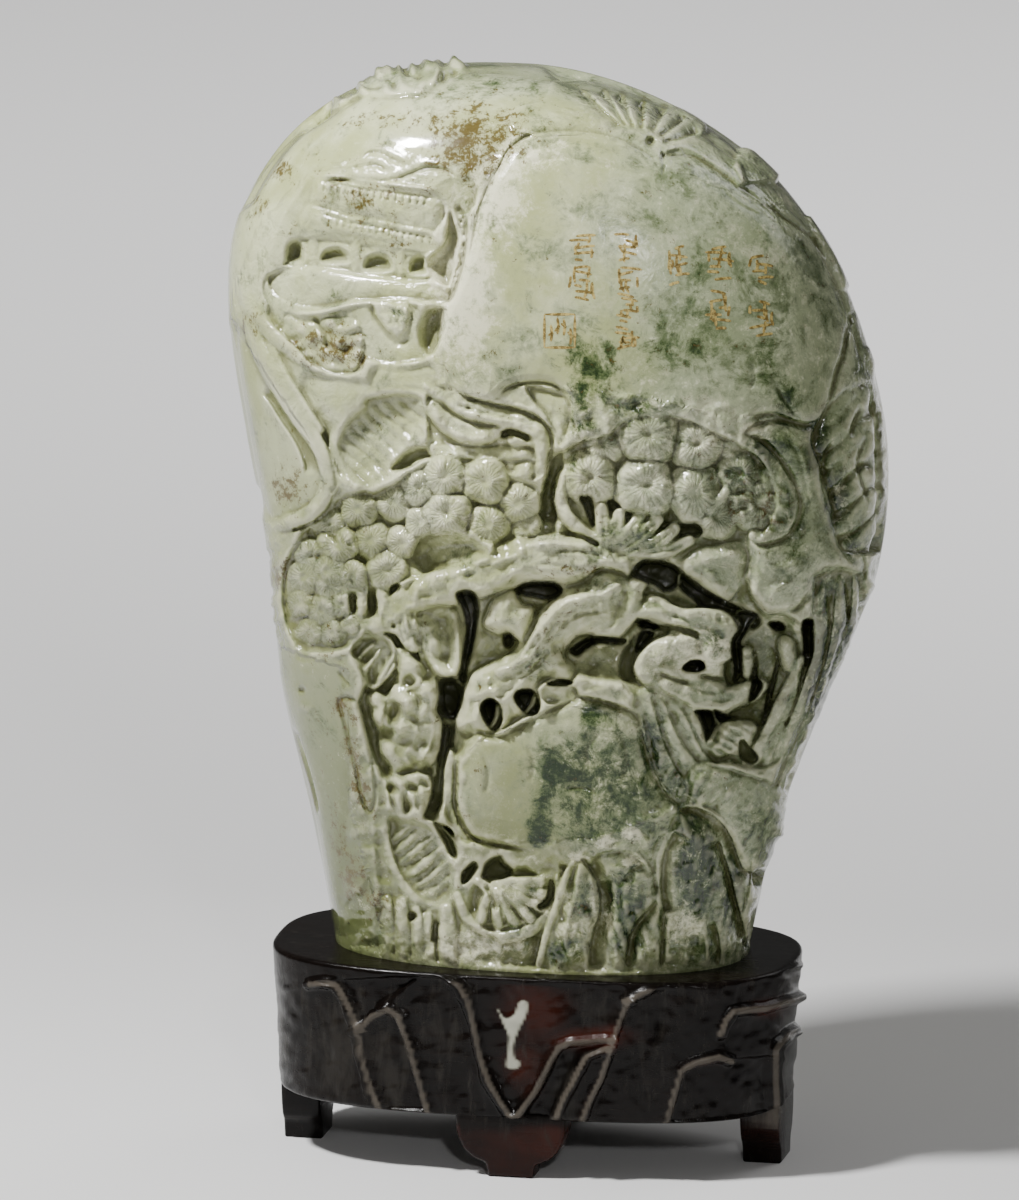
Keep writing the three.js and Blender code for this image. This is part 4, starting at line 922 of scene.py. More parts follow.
# Broad rocks in the lower middle.
face.shape([(-90, 214), (-80, 230), (-70, 234), (-50, 230), (-30, 240), (-10, 251), (10, 261), (30, 269),
        (40, 273), (80, 263), (100, 252), (108, 225), (115, 200), (130, 170), (150, 150), (146, 112),
        (110, 70), (60, 62), (16, 84), (-45, 106), (-70, 112), (-93, 118), (-100, 132), (-105, 148),
        (-103, 185), (-98, 205)], [(0, 18), (8, 5), (30, -1)], soft=4)
face.shape([(-105, 215), (-98, 205), (-98, 185), (-100, 160), (-92, 135), (-80, 114), (-94, 110), (-104, 130),
        (-110, 150), (-112, 185)], 14, soft=5)
face.groove([(-98, 205), (-97, 180), (-98, 155), (-88, 128), (-70, 110), (-50, 107), (-30, 105), (-12, 103)],
        8, 10)
for mark, width, depth in (
        ([(20, 172), (35, 173), (50, 171), (56, 164)], 5, 2.5),
        ([(-70, 210), (-62, 190), (-66, 165)], 7, 2.5),
        ([(60, 235), (45, 215), (50, 195)], 8, 2.5),
        ([(-20, 220), (-12, 200), (-18, 178)], 9, 2),
        ([(80, 235), (88, 210), (84, 180)], 9, 3)):
    face.groove(mark, width, depth)

# Lower rocks, shells and pleats, down to the foot.
face.shape([(-186, 132), (-172, 148), (-128, 138), (-98, 118), (-70, 108), (4, 102), (22, 80), (60, 66),
        (106, 72), (140, 110), (160, 150), (205, 130), (290, 140), (290, 20), (260, -50), (-180, -50),
        (-180, 40)], [(0, 6), (14, 9)], soft=8)
shellWall = [(-172, 142), (-176, 115), (-171, 95), (-164, 80), (-156, 65), (-146, 55), (-130, 44), (-117, 41),
        (-103, 50), (-96, 72), (-100, 92), (-106, 112), (-122, 132), (-150, 138)]
face.shape(shellWall, [(0, 8), (8, 17), (22, 21)], soft=5)
for k, (u0, v0, u1, v1) in enumerate(((-172, 114, -150, 130), (-169, 99, -136, 128), (-165, 85, -122, 120),
        (-157, 70, -114, 106), (-147, 58, -105, 92), (-135, 49, -99, 78), (-121, 43, -99, 60))):
    middle = ((u0 + u1) / 2 + 2 * math.sin(3 * k), (v0 + v1) / 2 - 2)
    face.limb([(u0, v0, 3, 16), (*middle, 4 + k % 2, 14 + k % 3), (u1, v1, 3, 15)])
face.shape([(-122, 134), (-112, 130), (-100, 114), (-96, 96), (-104, 98), (-112, 114)], [(0, 22), (6, 44)],
        soft=4)
face.limb([(-178, 140, 6, 7), (-175, 112, 6, 6), (-168, 86, 6, 6), (-154, 62, 6, 6), (-134, 44, 6, 7),
        (-112, 38, 5, 8)], flat=0.7)
scallop = [(-25, 88), (-10, 79), (3, 68), (9, 58), (5, 44), (-2, 34), (-15, 26), (-35, 21), (-55, 21),
        (-70, 25), (-81, 35), (-86, 48), (-79, 68), (-55, 80)]
face.shape(scallop, [(0, 8), (7, 17), (24, 9)], soft=5, tilt=(0, 0.1))
for u0, v0 in ((-70, 28), (-52, 22), (-33, 23), (-16, 30), (-3, 41), (3, 55), (-6, 69)):
    face.limb([(-54, 74, 2, 10), ((u0 - 58) / 2, (v0 + 71) / 2, 5, 0), (u0, v0, 7, 1)])
face.shape([(6, 71), (9, 60), (5, 47), (-4, 40), (-8, 43), (0, 50), (3, 58)], 26, soft=4)
for hole in (
        [(-68, 80), (-64, 91), (-50, 98), (-44, 91), (-35, 82), (-41, 74), (-55, 71), (-68, 73)],
        [(-86, 85), (-78, 91), (-74, 85), (-82, 72), (-90, 67), (-91, 78)]):
    face.shape(hole, [(0, 26), (6, 50)], soft=4)
face.limb([(-74, 70, 5, 6), (-64, 62, 6, 4), (-56, 46, 6, 4), (-46, 31, 6, 6)])
face.groove([(-66, 68), (-58, 52), (-52, 37)], 7, 6)
face.limb([(-96, 54, 5, 3), (-90, 38, 6, -1), (-78, 19, 7, -3), (-60, 9, 7, -3), (-40, 9, 7, -3),
        (-20, 14, 7, -3), (-3, 25, 7, -3), (9, 40, 6, -2), (15, 56, 5, -1), (14, 74, 4, 2)])
for pleat in (
        [(-174, 48, 7, 2), (-173, 10, 9, -1), (-174, -25, 9, 0)],
        [(-157, 46, 7, 1), (-156, 12, 9, -3), (-155, -25, 9, -2)],
        [(-141, 38, 6, 2), (-140, 8, 8, -1), (-140, -25, 8, 0)],
        [(-128, 32, 5, 3), (-127, 5, 6, 0), (-126, -25, 7, 0)],
        [(-108, 38, 9, 1), (-106, 5, 12, -3), (-103, -26, 12, -3)]):
    face.limb(pleat, flat=0.9)
face.groove([(-119, 27), (-121, 12), (-121, 2)], 10, 14)
face.pit(-145, 31, 6, 16)
face.shape([(-92, 22), (-70, 12), (-52, 6), (-50, -24), (-94, -22)], 5, soft=6)
for rock in (
        [(35, 94), (50, 84), (60, 66), (60, 40), (52, 8), (48, -28), (0, -28), (2, 12), (12, 32), (20, 55),
            (28, 78)],
        [(52, 94), (64, 70), (70, 44), (64, 16), (62, -26), (92, -26), (96, 12), (108, 30), (122, 46),
            (120, 64), (108, 88), (84, 104)],
        [(128, 120), (118, 104), (118, 84), (122, 62), (120, 46), (108, 28), (96, 10), (92, -26), (126, -26),
            (128, 30), (126, 70), (130, 98), (140, 118)],
        [(134, 122), (146, 144), (160, 148), (176, 138), (190, 122), (199, 90), (206, 60), (212, 30),
            (218, 8), (226, -20), (134, -24), (134, 40), (130, 80)],
        [(164, 200), (252, 176), (290, 150), (290, 110), (280, 76), (240, 77), (216, 83), (206, 108),
            (196, 136), (180, 150), (160, 156)],
        [(208, 106), (222, 84), (240, 74), (246, 42), (232, 30), (226, -6), (216, 8), (208, 50), (200, 90)]):
    face.shape(rock, [(0, 8), (7, 1), (26, -4)], soft=5)
for edge, width, depth in (
        ([(36, 96), (50, 82), (58, 67), (61, 50), (59, 30), (52, 8), (48, -24)], 30, 14),
        ([(-10, -24), (-4, 8), (4, 20), (10, 40), (18, 62), (28, 86)], 22, 12),
        ([(142, 126), (130, 98), (127, 70), (128, 50), (130, 35), (126, -24)], 34, 15),
        ([(122, 48), (106, 31), (96, 15), (90, -4), (88, -24)], 18, 9),
        ([(246, 68), (235, 76), (218, 82), (211, 95), (205, 112), (197, 128), (185, 141), (170, 149),
            (158, 151), (146, 148)], 30, 20),
        ([(221, 8), (214, 30), (208, 50), (203, 70), (196, 95), (190, 116)], 24, 16),
        ([(190, -24), (191, 0), (185, 24)], 16, 10),
        ([(100, 104), (112, 92), (119, 76), (121, 56)], 12, 6),
        ([(106, 88), (95, 83), (85, 70)], 10, 5),
        ([(216, 30), (224, 65), (226, 95)], 10, 4)):
    face.fold(edge, width, depth, taper=0.05)
    face.groove([(a - 0.5, b) for a, b in edge], 3.5, 3)
face.limb([(30, 90, 4, 0), (20, 66, 5, -1), (12, 40, 5, -1), (3, 16, 5, -1), (-6, -20, 5, 0)])
face.groove([(173, 36), (176, 8), (178, -20)], 5, -4)
face.groove([(35, 88), (34, 60), (26, 30), (20, -10)], 8, -3)
face.flutes([(145, 132), (180, 125), (190, 60), (186, -10), (142, -10), (140, 60)], -8, 11, 2.4, soft=8,
        bend=3)
face.flutes([(20, 88), (60, 80), (62, 0), (50, -24), (0, -24), (8, 40)], 12, 15, 2.6, soft=8, bend=5)
face.flutes([(66, 80), (120, 70), (120, 0), (110, -24), (66, -24), (66, 20)], 6, 13, 3, soft=8, bend=6)
face.flutes([(196, 60), (214, 20), (222, -20), (194, -20), (190, 20)], -10, 9, 3, soft=5)
face.flutes([(108, 258), (124, 216), (160, 196), (200, 190), (196, 150), (150, 152), (128, 176), (112, 220)],
        -18, 12, 3, soft=7, bend=5)
face.shape([(-262, 40), (-190, 36), (-182, 0), (-182, -60), (-270, -60)], 2, soft=16)
face.shape([(130, -20), (131, 36), (150, 40), (167, 34), (165, -20)], 1, soft=8, curved=False,
        rough=(14, 1.5))

# The outline at the crown and the chipped right shoulder.
face.shape([(-300, 1030), (-262, 905), (-200, 930), (-100, 950), (-20, 945), (60, 925), (120, 902),
        (170, 880), (215, 862), (250, 1030)], 4, soft=16, how="add")
face.shape([(-10, 1030), (20, 940), (70, 925), (130, 905), (150, 960), (100, 1030)], 8, soft=24, how="add")
face.shape([(-300, 960), (-262, 895), (-225, 915), (-200, 960), (-240, 1000)], 8, soft=20, how="add")
face.shape([(213, 872), (232, 872), (262, 850), (250, 832), (216, 832), (205, 850)], -5, soft=4, how="add",
        curved=False)
face.shape([(284, 795), (300, 800), (345, 720), (322, 716), (300, 760)], -4, soft=4, how="add", curved=False)
face.shape([(362, 640), (400, 640), (400, 460), (366, 460), (362, 540)], 6, soft=10, how="add")
face.shape([(366, 440), (400, 440), (390, 400), (356, 400)], 3, soft=10, how="add")
face.shape([(-340, 815), (-318, 880), (-270, 930), (-225, 915), (-245, 880), (-268, 850), (-290, 815)], 10,
        soft=26, how="add")

# Tool marks and wear over all the carving below the smooth face.
worked = [(-300, 455), (-200, 505), (-130, 610), (-60, 590), (20, 580), (60, 600), (200, 590), (250, 560),
        (226, 440), (340, 420), (320, 560), (385, 600), (392, 440), (340, 300), (262, 60), (240, -28),
        (-190, -22), (-215, 150), (-205, 300), (-290, 320)]
smoothRock = [(-88, 205), (-70, 225), (-30, 232), (30, 260), (95, 245), (110, 180), (100, 130), (0, 115),
        (-85, 125)]
box, u, v = face.window(smoothRock, 0)
calm = smoothstep(inwards(u, v, curve(smoothRock, closed=True)), 0, 12)
before = face.depth[box].copy()
face.rough(worked, 26, 1.6)
face.rough(worked, 9, 0.6)
face.depth[box] += (before - face.depth[box]) * calm

# The hidden side, plainer: layered rock, a few clefts and one pine over a smooth skin. Seen from behind,
# u runs to that viewer's right and v straight up.
rear = Relief((-420, -110), (420, 1030), 1.8)
rear.shape([(-60, 640), (-250, 560), (-330, 470), (-310, 330), (-230, 200), (-150, 60), (-60, -40),
        (120, -60), (230, 40), (250, 220), (300, 380), (310, 520), (180, 560), (60, 500), (-20, 560)],
        [(0, 14), (14, 8), (60, 5)], soft=10)
for ledge in (
        [(-330, 560), (-250, 590), (-160, 560), (-60, 640), (40, 600), (140, 640), (230, 600), (320, 620)],
        [(-330, 430), (-240, 470), (-150, 430), (-40, 480), (60, 440), (170, 480), (250, 430), (330, 450)],
        [(-300, 300), (-200, 330), (-110, 290), (0, 340), (110, 300), (210, 330), (300, 300)],
        [(-260, 180), (-160, 210), (-60, 160), (50, 200), (150, 160), (260, 190)],
        [(-230, 60), (-120, 90), (-10, 50), (110, 80), (230, 60)]):
    rear.fold(ledge, 60, 12)
    rear.groove(ledge, 7, -2.5)
for cleft in (
        [(-200, 560), (-180, 480), (-210, 400), (-170, 320), (-190, 220), (-160, 120), (-170, 20)],
        [(-60, 620), (-80, 520), (-50, 430), (-90, 340), (-60, 240), (-80, 140), (-50, 40), (-60, -30)],
        [(90, 590), (70, 500), (110, 400), (80, 300), (120, 200), (90, 100), (110, -20)],
        [(220, 560), (240, 460), (210, 380), (240, 280), (210, 180), (220, 80)]):
    rear.groove(cleft, 20, 14)
    rear.groove(cleft, 6, 10)
rear.limb([(150, 40, 20, 6), (140, 120, 17, 3), (160, 200, 15, 2), (140, 280, 13, 2), (170, 350, 11, 2),
        (150, 420, 9, 4)], bark=(18, 1.6))
rear.limb([(160, 210, 11, 3), (110, 250, 9, 3), (60, 262, 7, 5)], bark=(14, 1.2))
rear.limb([(148, 300, 10, 3), (200, 330, 8, 3), (240, 336, 6, 5)], bark=(14, 1.2))
for u0, v0, radius in ((40, 276, 34), (84, 292, 30), (14, 240, 26), (242, 352, 34), (206, 372, 28),
        (262, 316, 24), (150, 440, 40), (108, 420, 30), (192, 424, 32), (150, 480, 30)):
    rear.cushion(u0, v0, radius, 2, sag=0.4, needles=26, pit=3, seed=u0)
for u0, v0, radius in ((-240, 700, 70), (-190, 640, 50), (-262, 620, 44)):
    rear.groove([(u0 - radius, v0), (u0, v0 + radius * 0.5), (u0 + radius, v0)], 9, 5)
rear.soften(4)
print("relief carved")


def behind(points):
    return -points[:, 0], points[:, 2]


def inView(points):
    return points @ rightward, points @ upward


# How far the view from the front counts where the surface turns away, and how far the carving follows it.
viewShare = {"seen": (-0.16, 0.08), "leaning": (0.1, 0.5)}


# Sinks or raises the skin by both reliefs: the face along the line of sight, the hidden side along the skin.
def carved(points, normals):
    facing = normals @ toViewer
    front = face.at(*inView(points))
    back = rear.at(*behind(points))
    share = smoothstep(facing, *viewShare["seen"])
    depth = back * (1 - share) + front * share
    lean = smoothstep(facing, *viewShare["leaning"])[:, None]
    heading = normals * (1 - lean) + toViewer * lean
    heading /= np.linalg.norm(heading, axis=1, keepdims=True)
    return points - heading * depth[:, None]


def stoneShape():
    mesh, around, down = openSheet("carvedStone", pebble["columns"], pebble["rings"])
    span = 1 - pebble["base"]
    share = np.clip((span - down) / span, 0, 1)
    height = share - pebble["ringSpread"] / math.pi * np.sin(math.pi * share)
    angle = around - pebble["crowding"] * np.cos(around)
    skin = skinPoint(angle, height)
    moved = carved(skin, skinNormal(angle, height))
    held = smoothstep(skin[:, 2], *pebble["held"])[:, None]
    points = skin * (1 - held) + moved * held
    sole = down > span
    inner = np.clip((1 - down) / pebble["base"], 0, 1)[:, None]
    foot = skinPoint(angle, np.zeros(len(angle)))
    points[sole] = foot[sole] * np.array([1, 1, 0]) * inner[sole] + np.array([0, 0, -seat])
    points[:, 2] = np.maximum(points[:, 2], -seat)
    moveTo(mesh, points * unit + origin)
    closedUp(mesh)
    return finished("carvedJade", mesh)


stone = thinned(stoneShape(), pebble["triangles"])
print("stone", len(stone.data.polygons))

# The stand: a low oval block carved as slabs of rock, hollowed on top for the foot of the stone.
stand = {
    "halfWidth": 301.1,
    "halfDepth": 164.1,
    "shift": -8.65,
    "roundness": 2.9,
    "taper": 0.03,
    "height": layout["standHeight"] / unit,
    "rib": 0.0022 / unit,
    "edge": 7,  # how far its upper and lower edges are rounded
    "wallGap": 2.2,  # the seat's gaps, as multiples of its clearance
    "floorGap": 1.15,
    # shares of the way down the sheet, from the middle of the seat to the middle of the underside
    "bands": {"floor": (0, 0.06), "wall": (0.06, 0.10), "top": (0.10, 0.30), "upperEdge": (0.30, 0.34),
              "side": (0.34, 0.80), "lowerEdge": (0.80, 0.84), "underside": (0.84, 1.0)},
    "carvingFrom": (0.315, 0.345),
    "carvingTo": (0.835, 0.03),
    "columns": 620,
    "rings": 210,
    "triangles": 150000,
}


def standRim(angle):
    reach = superEllipse(np.cos(angle), np.sin(angle), stand["roundness"])
    wide, deep = stand["halfWidth"] - stand["rib"], stand["halfDepth"] - stand["rib"]
    return np.stack([stand["shift"] + wide * np.cos(angle) * reach, deep * np.sin(angle) * reach], axis=-1)


# Slabs and ribs of the stand's side, read from the viewer's place.
slabs = Relief((-340, -250), (320, 60), 1.3)
slabs.depth += 1
standRibs = (
        [(-112, -30), (-94, -46), (-85, -62), (-78, -90), (-72, -120), (-62, -150), (-48, -174), (-35, -194)],
        [(-35, -194), (-22, -176), (-10, -160), (5, -130), (15, -112), (25, -108), (50, -106), (72, -104)],
        [(90, -62), (84, -78), (78, -94), (72, -112), (62, -145), (50, -168), (36, -204)],
        [(70, -113), (57, -116), (45, -121), (35, -140), (28, -154), (20, -167), (6, -204)],
        [(88, -62), (108, -52), (140, -34)],
        [(130, -204), (145, -152), (150, -137), (165, -129), (190, -123), (205, -128)],
        [(192, -98), (198, -82), (206, -73), (224, -71), (240, -70), (290, -56)],
        [(255, -200), (253, -150), (253, -116), (258, -108), (270, -98), (292, -88)],
        [(-258, -44), (-242, -42), (-230, -44), (-222, -56), (-215, -70), (-205, -95), (-200, -130),
            (-190, -162), (-178, -192)],
        [(-205, -95), (-190, -79), (-172, -71), (-161, -80), (-150, -110), (-140, -145), (-126, -196)])
for outline, level, tilt in (
        ([(-105, -30), (-88, -60), (-78, -92), (-70, -125), (-58, -158), (-35, -198), (-10, -163), (8, -130),
            (20, -110), (72, -104), (90, -66), (82, -30)], 2, (0.01, 0.02)),
        ([(-30, -200), (-8, -163), (10, -125), (30, -108), (72, -106), (44, -122), (22, -160), (8, -200)], 8,
            (0, 0.03)),
        ([(8, -200), (24, -160), (46, -122), (72, -112), (60, -150), (38, -200)], 0, (0.03, 0)),
        ([(38, -200), (64, -145), (84, -80), (98, -58), (140, -38), (130, -92), (108, -128), (104, -200)], 6,
            (0.02, 0.02)),
        ([(108, -200), (112, -128), (134, -92), (152, -40), (215, -40), (198, -90), (200, -124), (152, -134),
            (128, -200)], 0, (0.01, -0.02)),
        ([(130, -200), (150, -138), (200, -126), (252, -118), (252, -200)], 7, (0, 0.03)),
        ([(196, -96), (208, -74), (290, -60), (290, -90), (256, -108), (252, -122), (202, -126)], 3,
            (0, 0.03)),
        ([(-250, -40), (-228, -46), (-212, -75), (-200, -130), (-184, -185), (-132, -185), (-150, -112),
            (-163, -78), (-190, -70), (-140, -34)], 6, (0.02, 0.02)),
        ([(-140, -34), (-165, -72), (-148, -112), (-130, -185), (-62, -196), (-80, -100), (-105, -38)], 4,
            (-0.02, 0.01)),
        ([(-205, -96), (-190, -80), (-172, -73), (-152, -110), (-134, -185), (-190, -180), (-198, -130)], 8,
            (0.03, 0)),
        ([(-330, -60), (-255, -46), (-228, -50), (-212, -90), (-200, -140), (-190, -180), (-330, -160)], 1,
            (-0.01, 0.02))):
    slabs.shape(outline, level, soft=3, curved=False, tilt=tilt)
# Rib edges, painted lighter on the stand: part wear, part painted highlight along the ribs.
edges = Relief((-340, -250), (320, 60), 1.3)
for rib in standRibs:
    slabs.ridge(rib, 15, 7, curved=False, taper=0)
    edges.ridge(rib, 9, -1, curved=False, taper=0)
slabs.ridge([(-105, -32), (-94, -46), (-85, -60)], 24, 3)
slabs.ridge([(85, -62), (105, -58), (150, -42), (190, -34), (290, -22)], 8, 4)
slabs.shape([(-50, -75), (-40, -78), (-32, -70), (-25, -63), (-20, -70), (-22, -85), (-30, -100), (-33, -125),
        (-28, -135), (-42, -137), (-40, -118), (-38, -100), (-45, -85)], -1, soft=3, how="add")
for lumps, height in ((40, 1.2), (13, 0.5)):
    slabs.rough([(-330, -40), (0, -40), (290, -40), (290, -190), (0, -200), (-330, -190)], lumps, height)
slabs.soften(1)

# The far side in the same manner, plainer, over the way round and up.
farSlabs = Relief((-340, -190), (340, 30), 2.0)
farSlabs.depth += 1
farLayout = {"first": -300, "spacing": 68, "lean": 26, "beat": 2.1}
for k in range(9):
    left = farLayout["first"] + farLayout["spacing"] * k
    lean = farLayout["lean"] * math.sin(k * farLayout["beat"])
    farSlabs.shape([(left, 10), (left + 60, 10), (left + 62 + lean, -90), (left + 48, -180),
                    (left - 8, -180), (left + lean - 6, -90)], 1 + 3.5 * (k % 2), soft=5, curved=False,
                   tilt=(0.02 * (-1) ** k, 0.01))
    farSlabs.ridge([(left - 4, -20), (left + lean, -70), (left + lean * 0.4, -120), (left - 4, -165)], 13, 7)
farSlabs.soften(1)


# The outline of the stone's foot, grown by a little.
def footReach(angle, grow):
    ring = skinPoint(angle, np.zeros(np.shape(angle)))
    length = np.hypot(ring[..., 0], ring[..., 1])
    return ring[..., :2] * ((length + grow) / length)[..., None]


def standShape():
    mesh, angle, down = openSheet("carvedStand", stand["columns"], stand["rings"])
    clearance = layout["seatClearance"] / unit
    floor = -seat - clearance * stand["floorGap"]
    edge, height, middle = stand["edge"], stand["height"], np.array([stand["shift"], 0])
    wall = footReach(angle, stand["wallGap"] * clearance)
    rim = standRim(angle)
    out = (rim - middle) / np.hypot(rim[:, 0] - stand["shift"], rim[:, 1])[:, None]
    low = middle + (rim - middle) * (1 - stand["taper"])
    xy, z = np.zeros((len(angle), 2)), np.zeros(len(angle))

    def band(name):
        start, end = stand["bands"][name]
        share = np.clip((down - start) / (end - start), 0, 1)
        return (down >= start) & (down <= end), share, share[:, None]

    pick, f, column = band("floor")
    xy[pick], z[pick] = (wall * column)[pick], floor
    pick, f, column = band("wall")
    xy[pick], z[pick] = wall[pick], (floor * (1 - f))[pick]
    pick, f, column = band("top")
    xy[pick], z[pick] = (wall * (1 - column) + (rim - out * edge) * column)[pick], 0
    pick, f, column = band("upperEdge")
    bend = f * math.pi / 2
    xy[pick] = (rim - out * edge + out * (edge * np.sin(bend))[:, None])[pick]
    z[pick] = (-edge * (1 - np.cos(bend)))[pick]
    pick, f, column = band("side")
    xy[pick] = (middle + (rim - middle) * (1 - stand["taper"] * column))[pick]
    z[pick] = (-edge - (height - 2 * edge) * f)[pick]
    pick, f, column = band("lowerEdge")
    bend = f * math.pi / 2
    xy[pick] = (low - out * (edge * (1 - np.cos(bend)))[:, None])[pick]
    z[pick] = (-height + edge * (1 - np.sin(bend)))[pick]
    pick, f, column = band("underside")
    xy[pick], z[pick] = (middle + (low - out * edge - middle) * (1 - column))[pick], -height

    points = np.column_stack([xy, z])
    outward = np.column_stack([out, np.zeros(len(angle))])
    share = smoothstep(outward @ toViewer, *viewShare["seen"])
    depth = slabs.at(*inView(points)) * share + farSlabs.at(*behind(points)) * (1 - share)
    end, length = stand["carvingTo"]
    fade = smoothstep(down, *stand["carvingFrom"]) * smoothstep(end - down, 0, length)
    points -= outward * (depth * fade)[:, None]
    moveTo(mesh, points * unit + origin)
    closedUp(mesh)
    return finished("carvedStand", mesh)


carvedStand = thinned(standShape(), stand["triangles"])
print("stand", len(carvedStand.data.polygons))

# Bowl-shaped feet under the ends and the middles of the sides.
feet = {
    "thickness": 0.010,
    "pad": 0.0115,
    "padHeight": 0.0034,
    "height": 0.0155,
    "width": 0.029,
    "endShare": 0.7,  # how wide the feet under the ends are beside the others
    "inset": 0.0008,
    "bevel": 0.0012,
    "sunk": (0.98, 0.0015),  # share of the half width, and how far it reaches up into the stand
    # shares of the half width and of the bowl's height
    "bowl": ((0.97, 0.25), (0.92, 0.5), (0.82, 0.74), (0.66, 0.9)),
    "padEase": 0.0005,
    "sharpAngle": 50,
}


def footShape(bm, centre, along, across, width):
    half, pad, bowl = width / 2, feet["pad"] / 2, feet["height"] - feet["padHeight"]
    wide, up = feet["sunk"]
    bend = [(half * wide, up)] + [(half * a, -bowl * b) for a, b in feet["bowl"]]
    bend += [(pad + feet["padEase"], -bowl), (pad, -feet["height"])]
    outline = bend + [(-a, b) for a, b in reversed(bend)]
    part = bmesh.new()
    ring = [part.verts.new((a, -feet["thickness"] / 2, b)) for a, b in outline]
    grown = bmesh.ops.extrude_face_region(part, geom=[part.faces.new(ring)])
    new = [g for g in grown["geom"] if isinstance(g, bmesh.types.BMVert)]
    bmesh.ops.translate(part, verts=new, vec=(0, feet["thickness"], 0))
    bmesh.ops.recalc_face_normals(part, faces=part.faces)
    sharp = [e for e in part.edges if min(v.co.z for v in e.verts) > -feet["height"] + 1e-5 or
             abs(e.verts[0].co.y - e.verts[1].co.y) < 1e-6]
    bmesh.ops.bevel(part, geom=sharp, offset=feet["bevel"], offset_type="OFFSET", segments=3, profile=0.5,
                    affect="EDGES", material=-1, clamp_overlap=True)
    x, y, z = centre
    turned = Matrix(((along[0], across[0], 0, x), (along[1], across[1], 0, y), (0, 0, 1, z), (0, 0, 0, 1)))
    bmesh.ops.transform(part, matrix=turned, verts=part.verts)
    spare = meshOf("foot", part)
    bm.from_mesh(spare)
    bpy.data.meshes.remove(spare)


def feetShape():
    bm = bmesh.new()
    under = origin[2] - layout["standHeight"]
    middle = origin[0] + stand["shift"] * unit
    reachX, reachY = (stand[name] * unit * (1 - stand["taper"]) for name in ("halfWidth", "halfDepth"))
    sink = feet["thickness"] / 2 + stand["rib"] * unit + feet["inset"]
    for side in (-1, 1):
        footShape(bm, (middle, origin[1] + side * (reachY - sink), under), (1, 0), (0, 1), feet["width"])
        footShape(bm, (middle + side * (reachX - sink), origin[1], under), (0, 1), (-1, 0),
                  feet["width"] * feet["endShare"])
    mesh = meshOf("standFeet", bm)
    piece = finished("standFeet", mesh)
    mesh.shade_smooth()
    mesh.set_sharp_from_angle(angle=math.radians(feet["sharpAngle"]))
    return piece


standFeet = feetShape()


# Shader maths: a socket that can be added, subtracted and multiplied like a number.
class Wire:
    def __init__(self, tree, socket):
        self.tree, self.socket = tree, socket

    def maths(self, operation, other=0.0):
        return self.tree.node("ShaderNodeMath", {"operation": operation}, {0: self, 1: other})

    def __add__(self, other):
        return self.maths("ADD", other)

    def __sub__(self, other):
        return self.maths("SUBTRACT", other)

    def __rsub__(self, other):
        return self.tree.node("ShaderNodeMath", {"operation": "SUBTRACT"}, {0: other, 1: self})

    def __mul__(self, other):
        return self.maths("MULTIPLY", other)

    __radd__, __rmul__ = __add__, __mul__

    def most(self, other):
        return self.maths("MAXIMUM", other)

    def power(self, other):
        return self.maths("POWER", other)

    # From 0 to 1 as the value goes from low to high.
    def step(self, low, high):
        return self.tree.node("ShaderNodeMapRange", {"interpolation_type": "SMOOTHSTEP", "clamp": True},
                              {"Value": self, "From Min": low, "From Max": high})


class Finish:
    def __init__(self, name):
        self.material = bpy.data.materials.new(name)
        self.material.use_nodes = True
        self.nodes, self.links = self.material.node_tree.nodes, self.material.node_tree.links
        self.nodes.clear()
        self.place = self.node("ShaderNodeTexCoord", {}, {}, "Object")

    def node(self, kind, settings, values, output=0):
        node = self.nodes.new(kind)
        for key, value in settings.items():
            setattr(node, key, value)
        for key, value in values.items():
            if isinstance(value, Wire):
                self.links.new(value.socket, node.inputs[key])
            else:
                node.inputs[key].default_value = value
        return Wire(self, node.outputs[output])

    def scaled(self, scale, turned=(0, 0, 0)):
        return self.node("ShaderNodeMapping", {}, {"Vector": self.place, "Scale": scale, "Rotation": turned})

    def noise(self, size, detail=4.0, rough=0.55, warp=0.0, place=None):
        return self.node("ShaderNodeTexNoise", {"noise_type": "FBM"}, {"Vector": place or self.place,
                         "Scale": 1 / size, "Detail": detail, "Roughness": rough, "Distortion": warp})

    def attribute(self, name):
        settings = {"attribute_name": name, "attribute_type": "GEOMETRY"}
        return self.node("ShaderNodeAttribute", settings, {}, "Fac")

    def mix(self, share, first, second):
        first, second = (c if isinstance(c, Wire) else (*c, 1) for c in (first, second))
        return self.node("ShaderNodeMix", {"data_type": "RGBA", "blend_type": "MIX"},
                         {0: share, 6: first, 7: second}, 2)

    # Lays colours over a base one after the other, each with its share.
    def layered(self, base, layers):
        for share, colour in layers:
            base = self.mix(share, base, colour)
        return base

    def bump(self, height, distance, strength):
        return self.node("ShaderNodeBump", {}, {"Height": height, "Distance": distance, "Strength": strength})

    def end(self, values):
        shader = self.node("ShaderNodeBsdfPrincipled", {}, values)
        self.links.new(shader.socket, self.nodes.new("ShaderNodeOutputMaterial").inputs[0])
        return self.material


# A colour as a screen shows it, from 0 to 255, turned into light.
def linear(red, green, blue):
    return tuple(((c / 255 + 0.055) / 1.055) ** 2.4 if c > 10 else c / 255 / 12.92
                 for c in (red, green, blue))


def writeAttribute(mesh, name, values):
    layer = mesh.attributes.new(name, "FLOAT", "POINT")
    layer.data.foreach_set("value", np.asarray(values, np.float32))
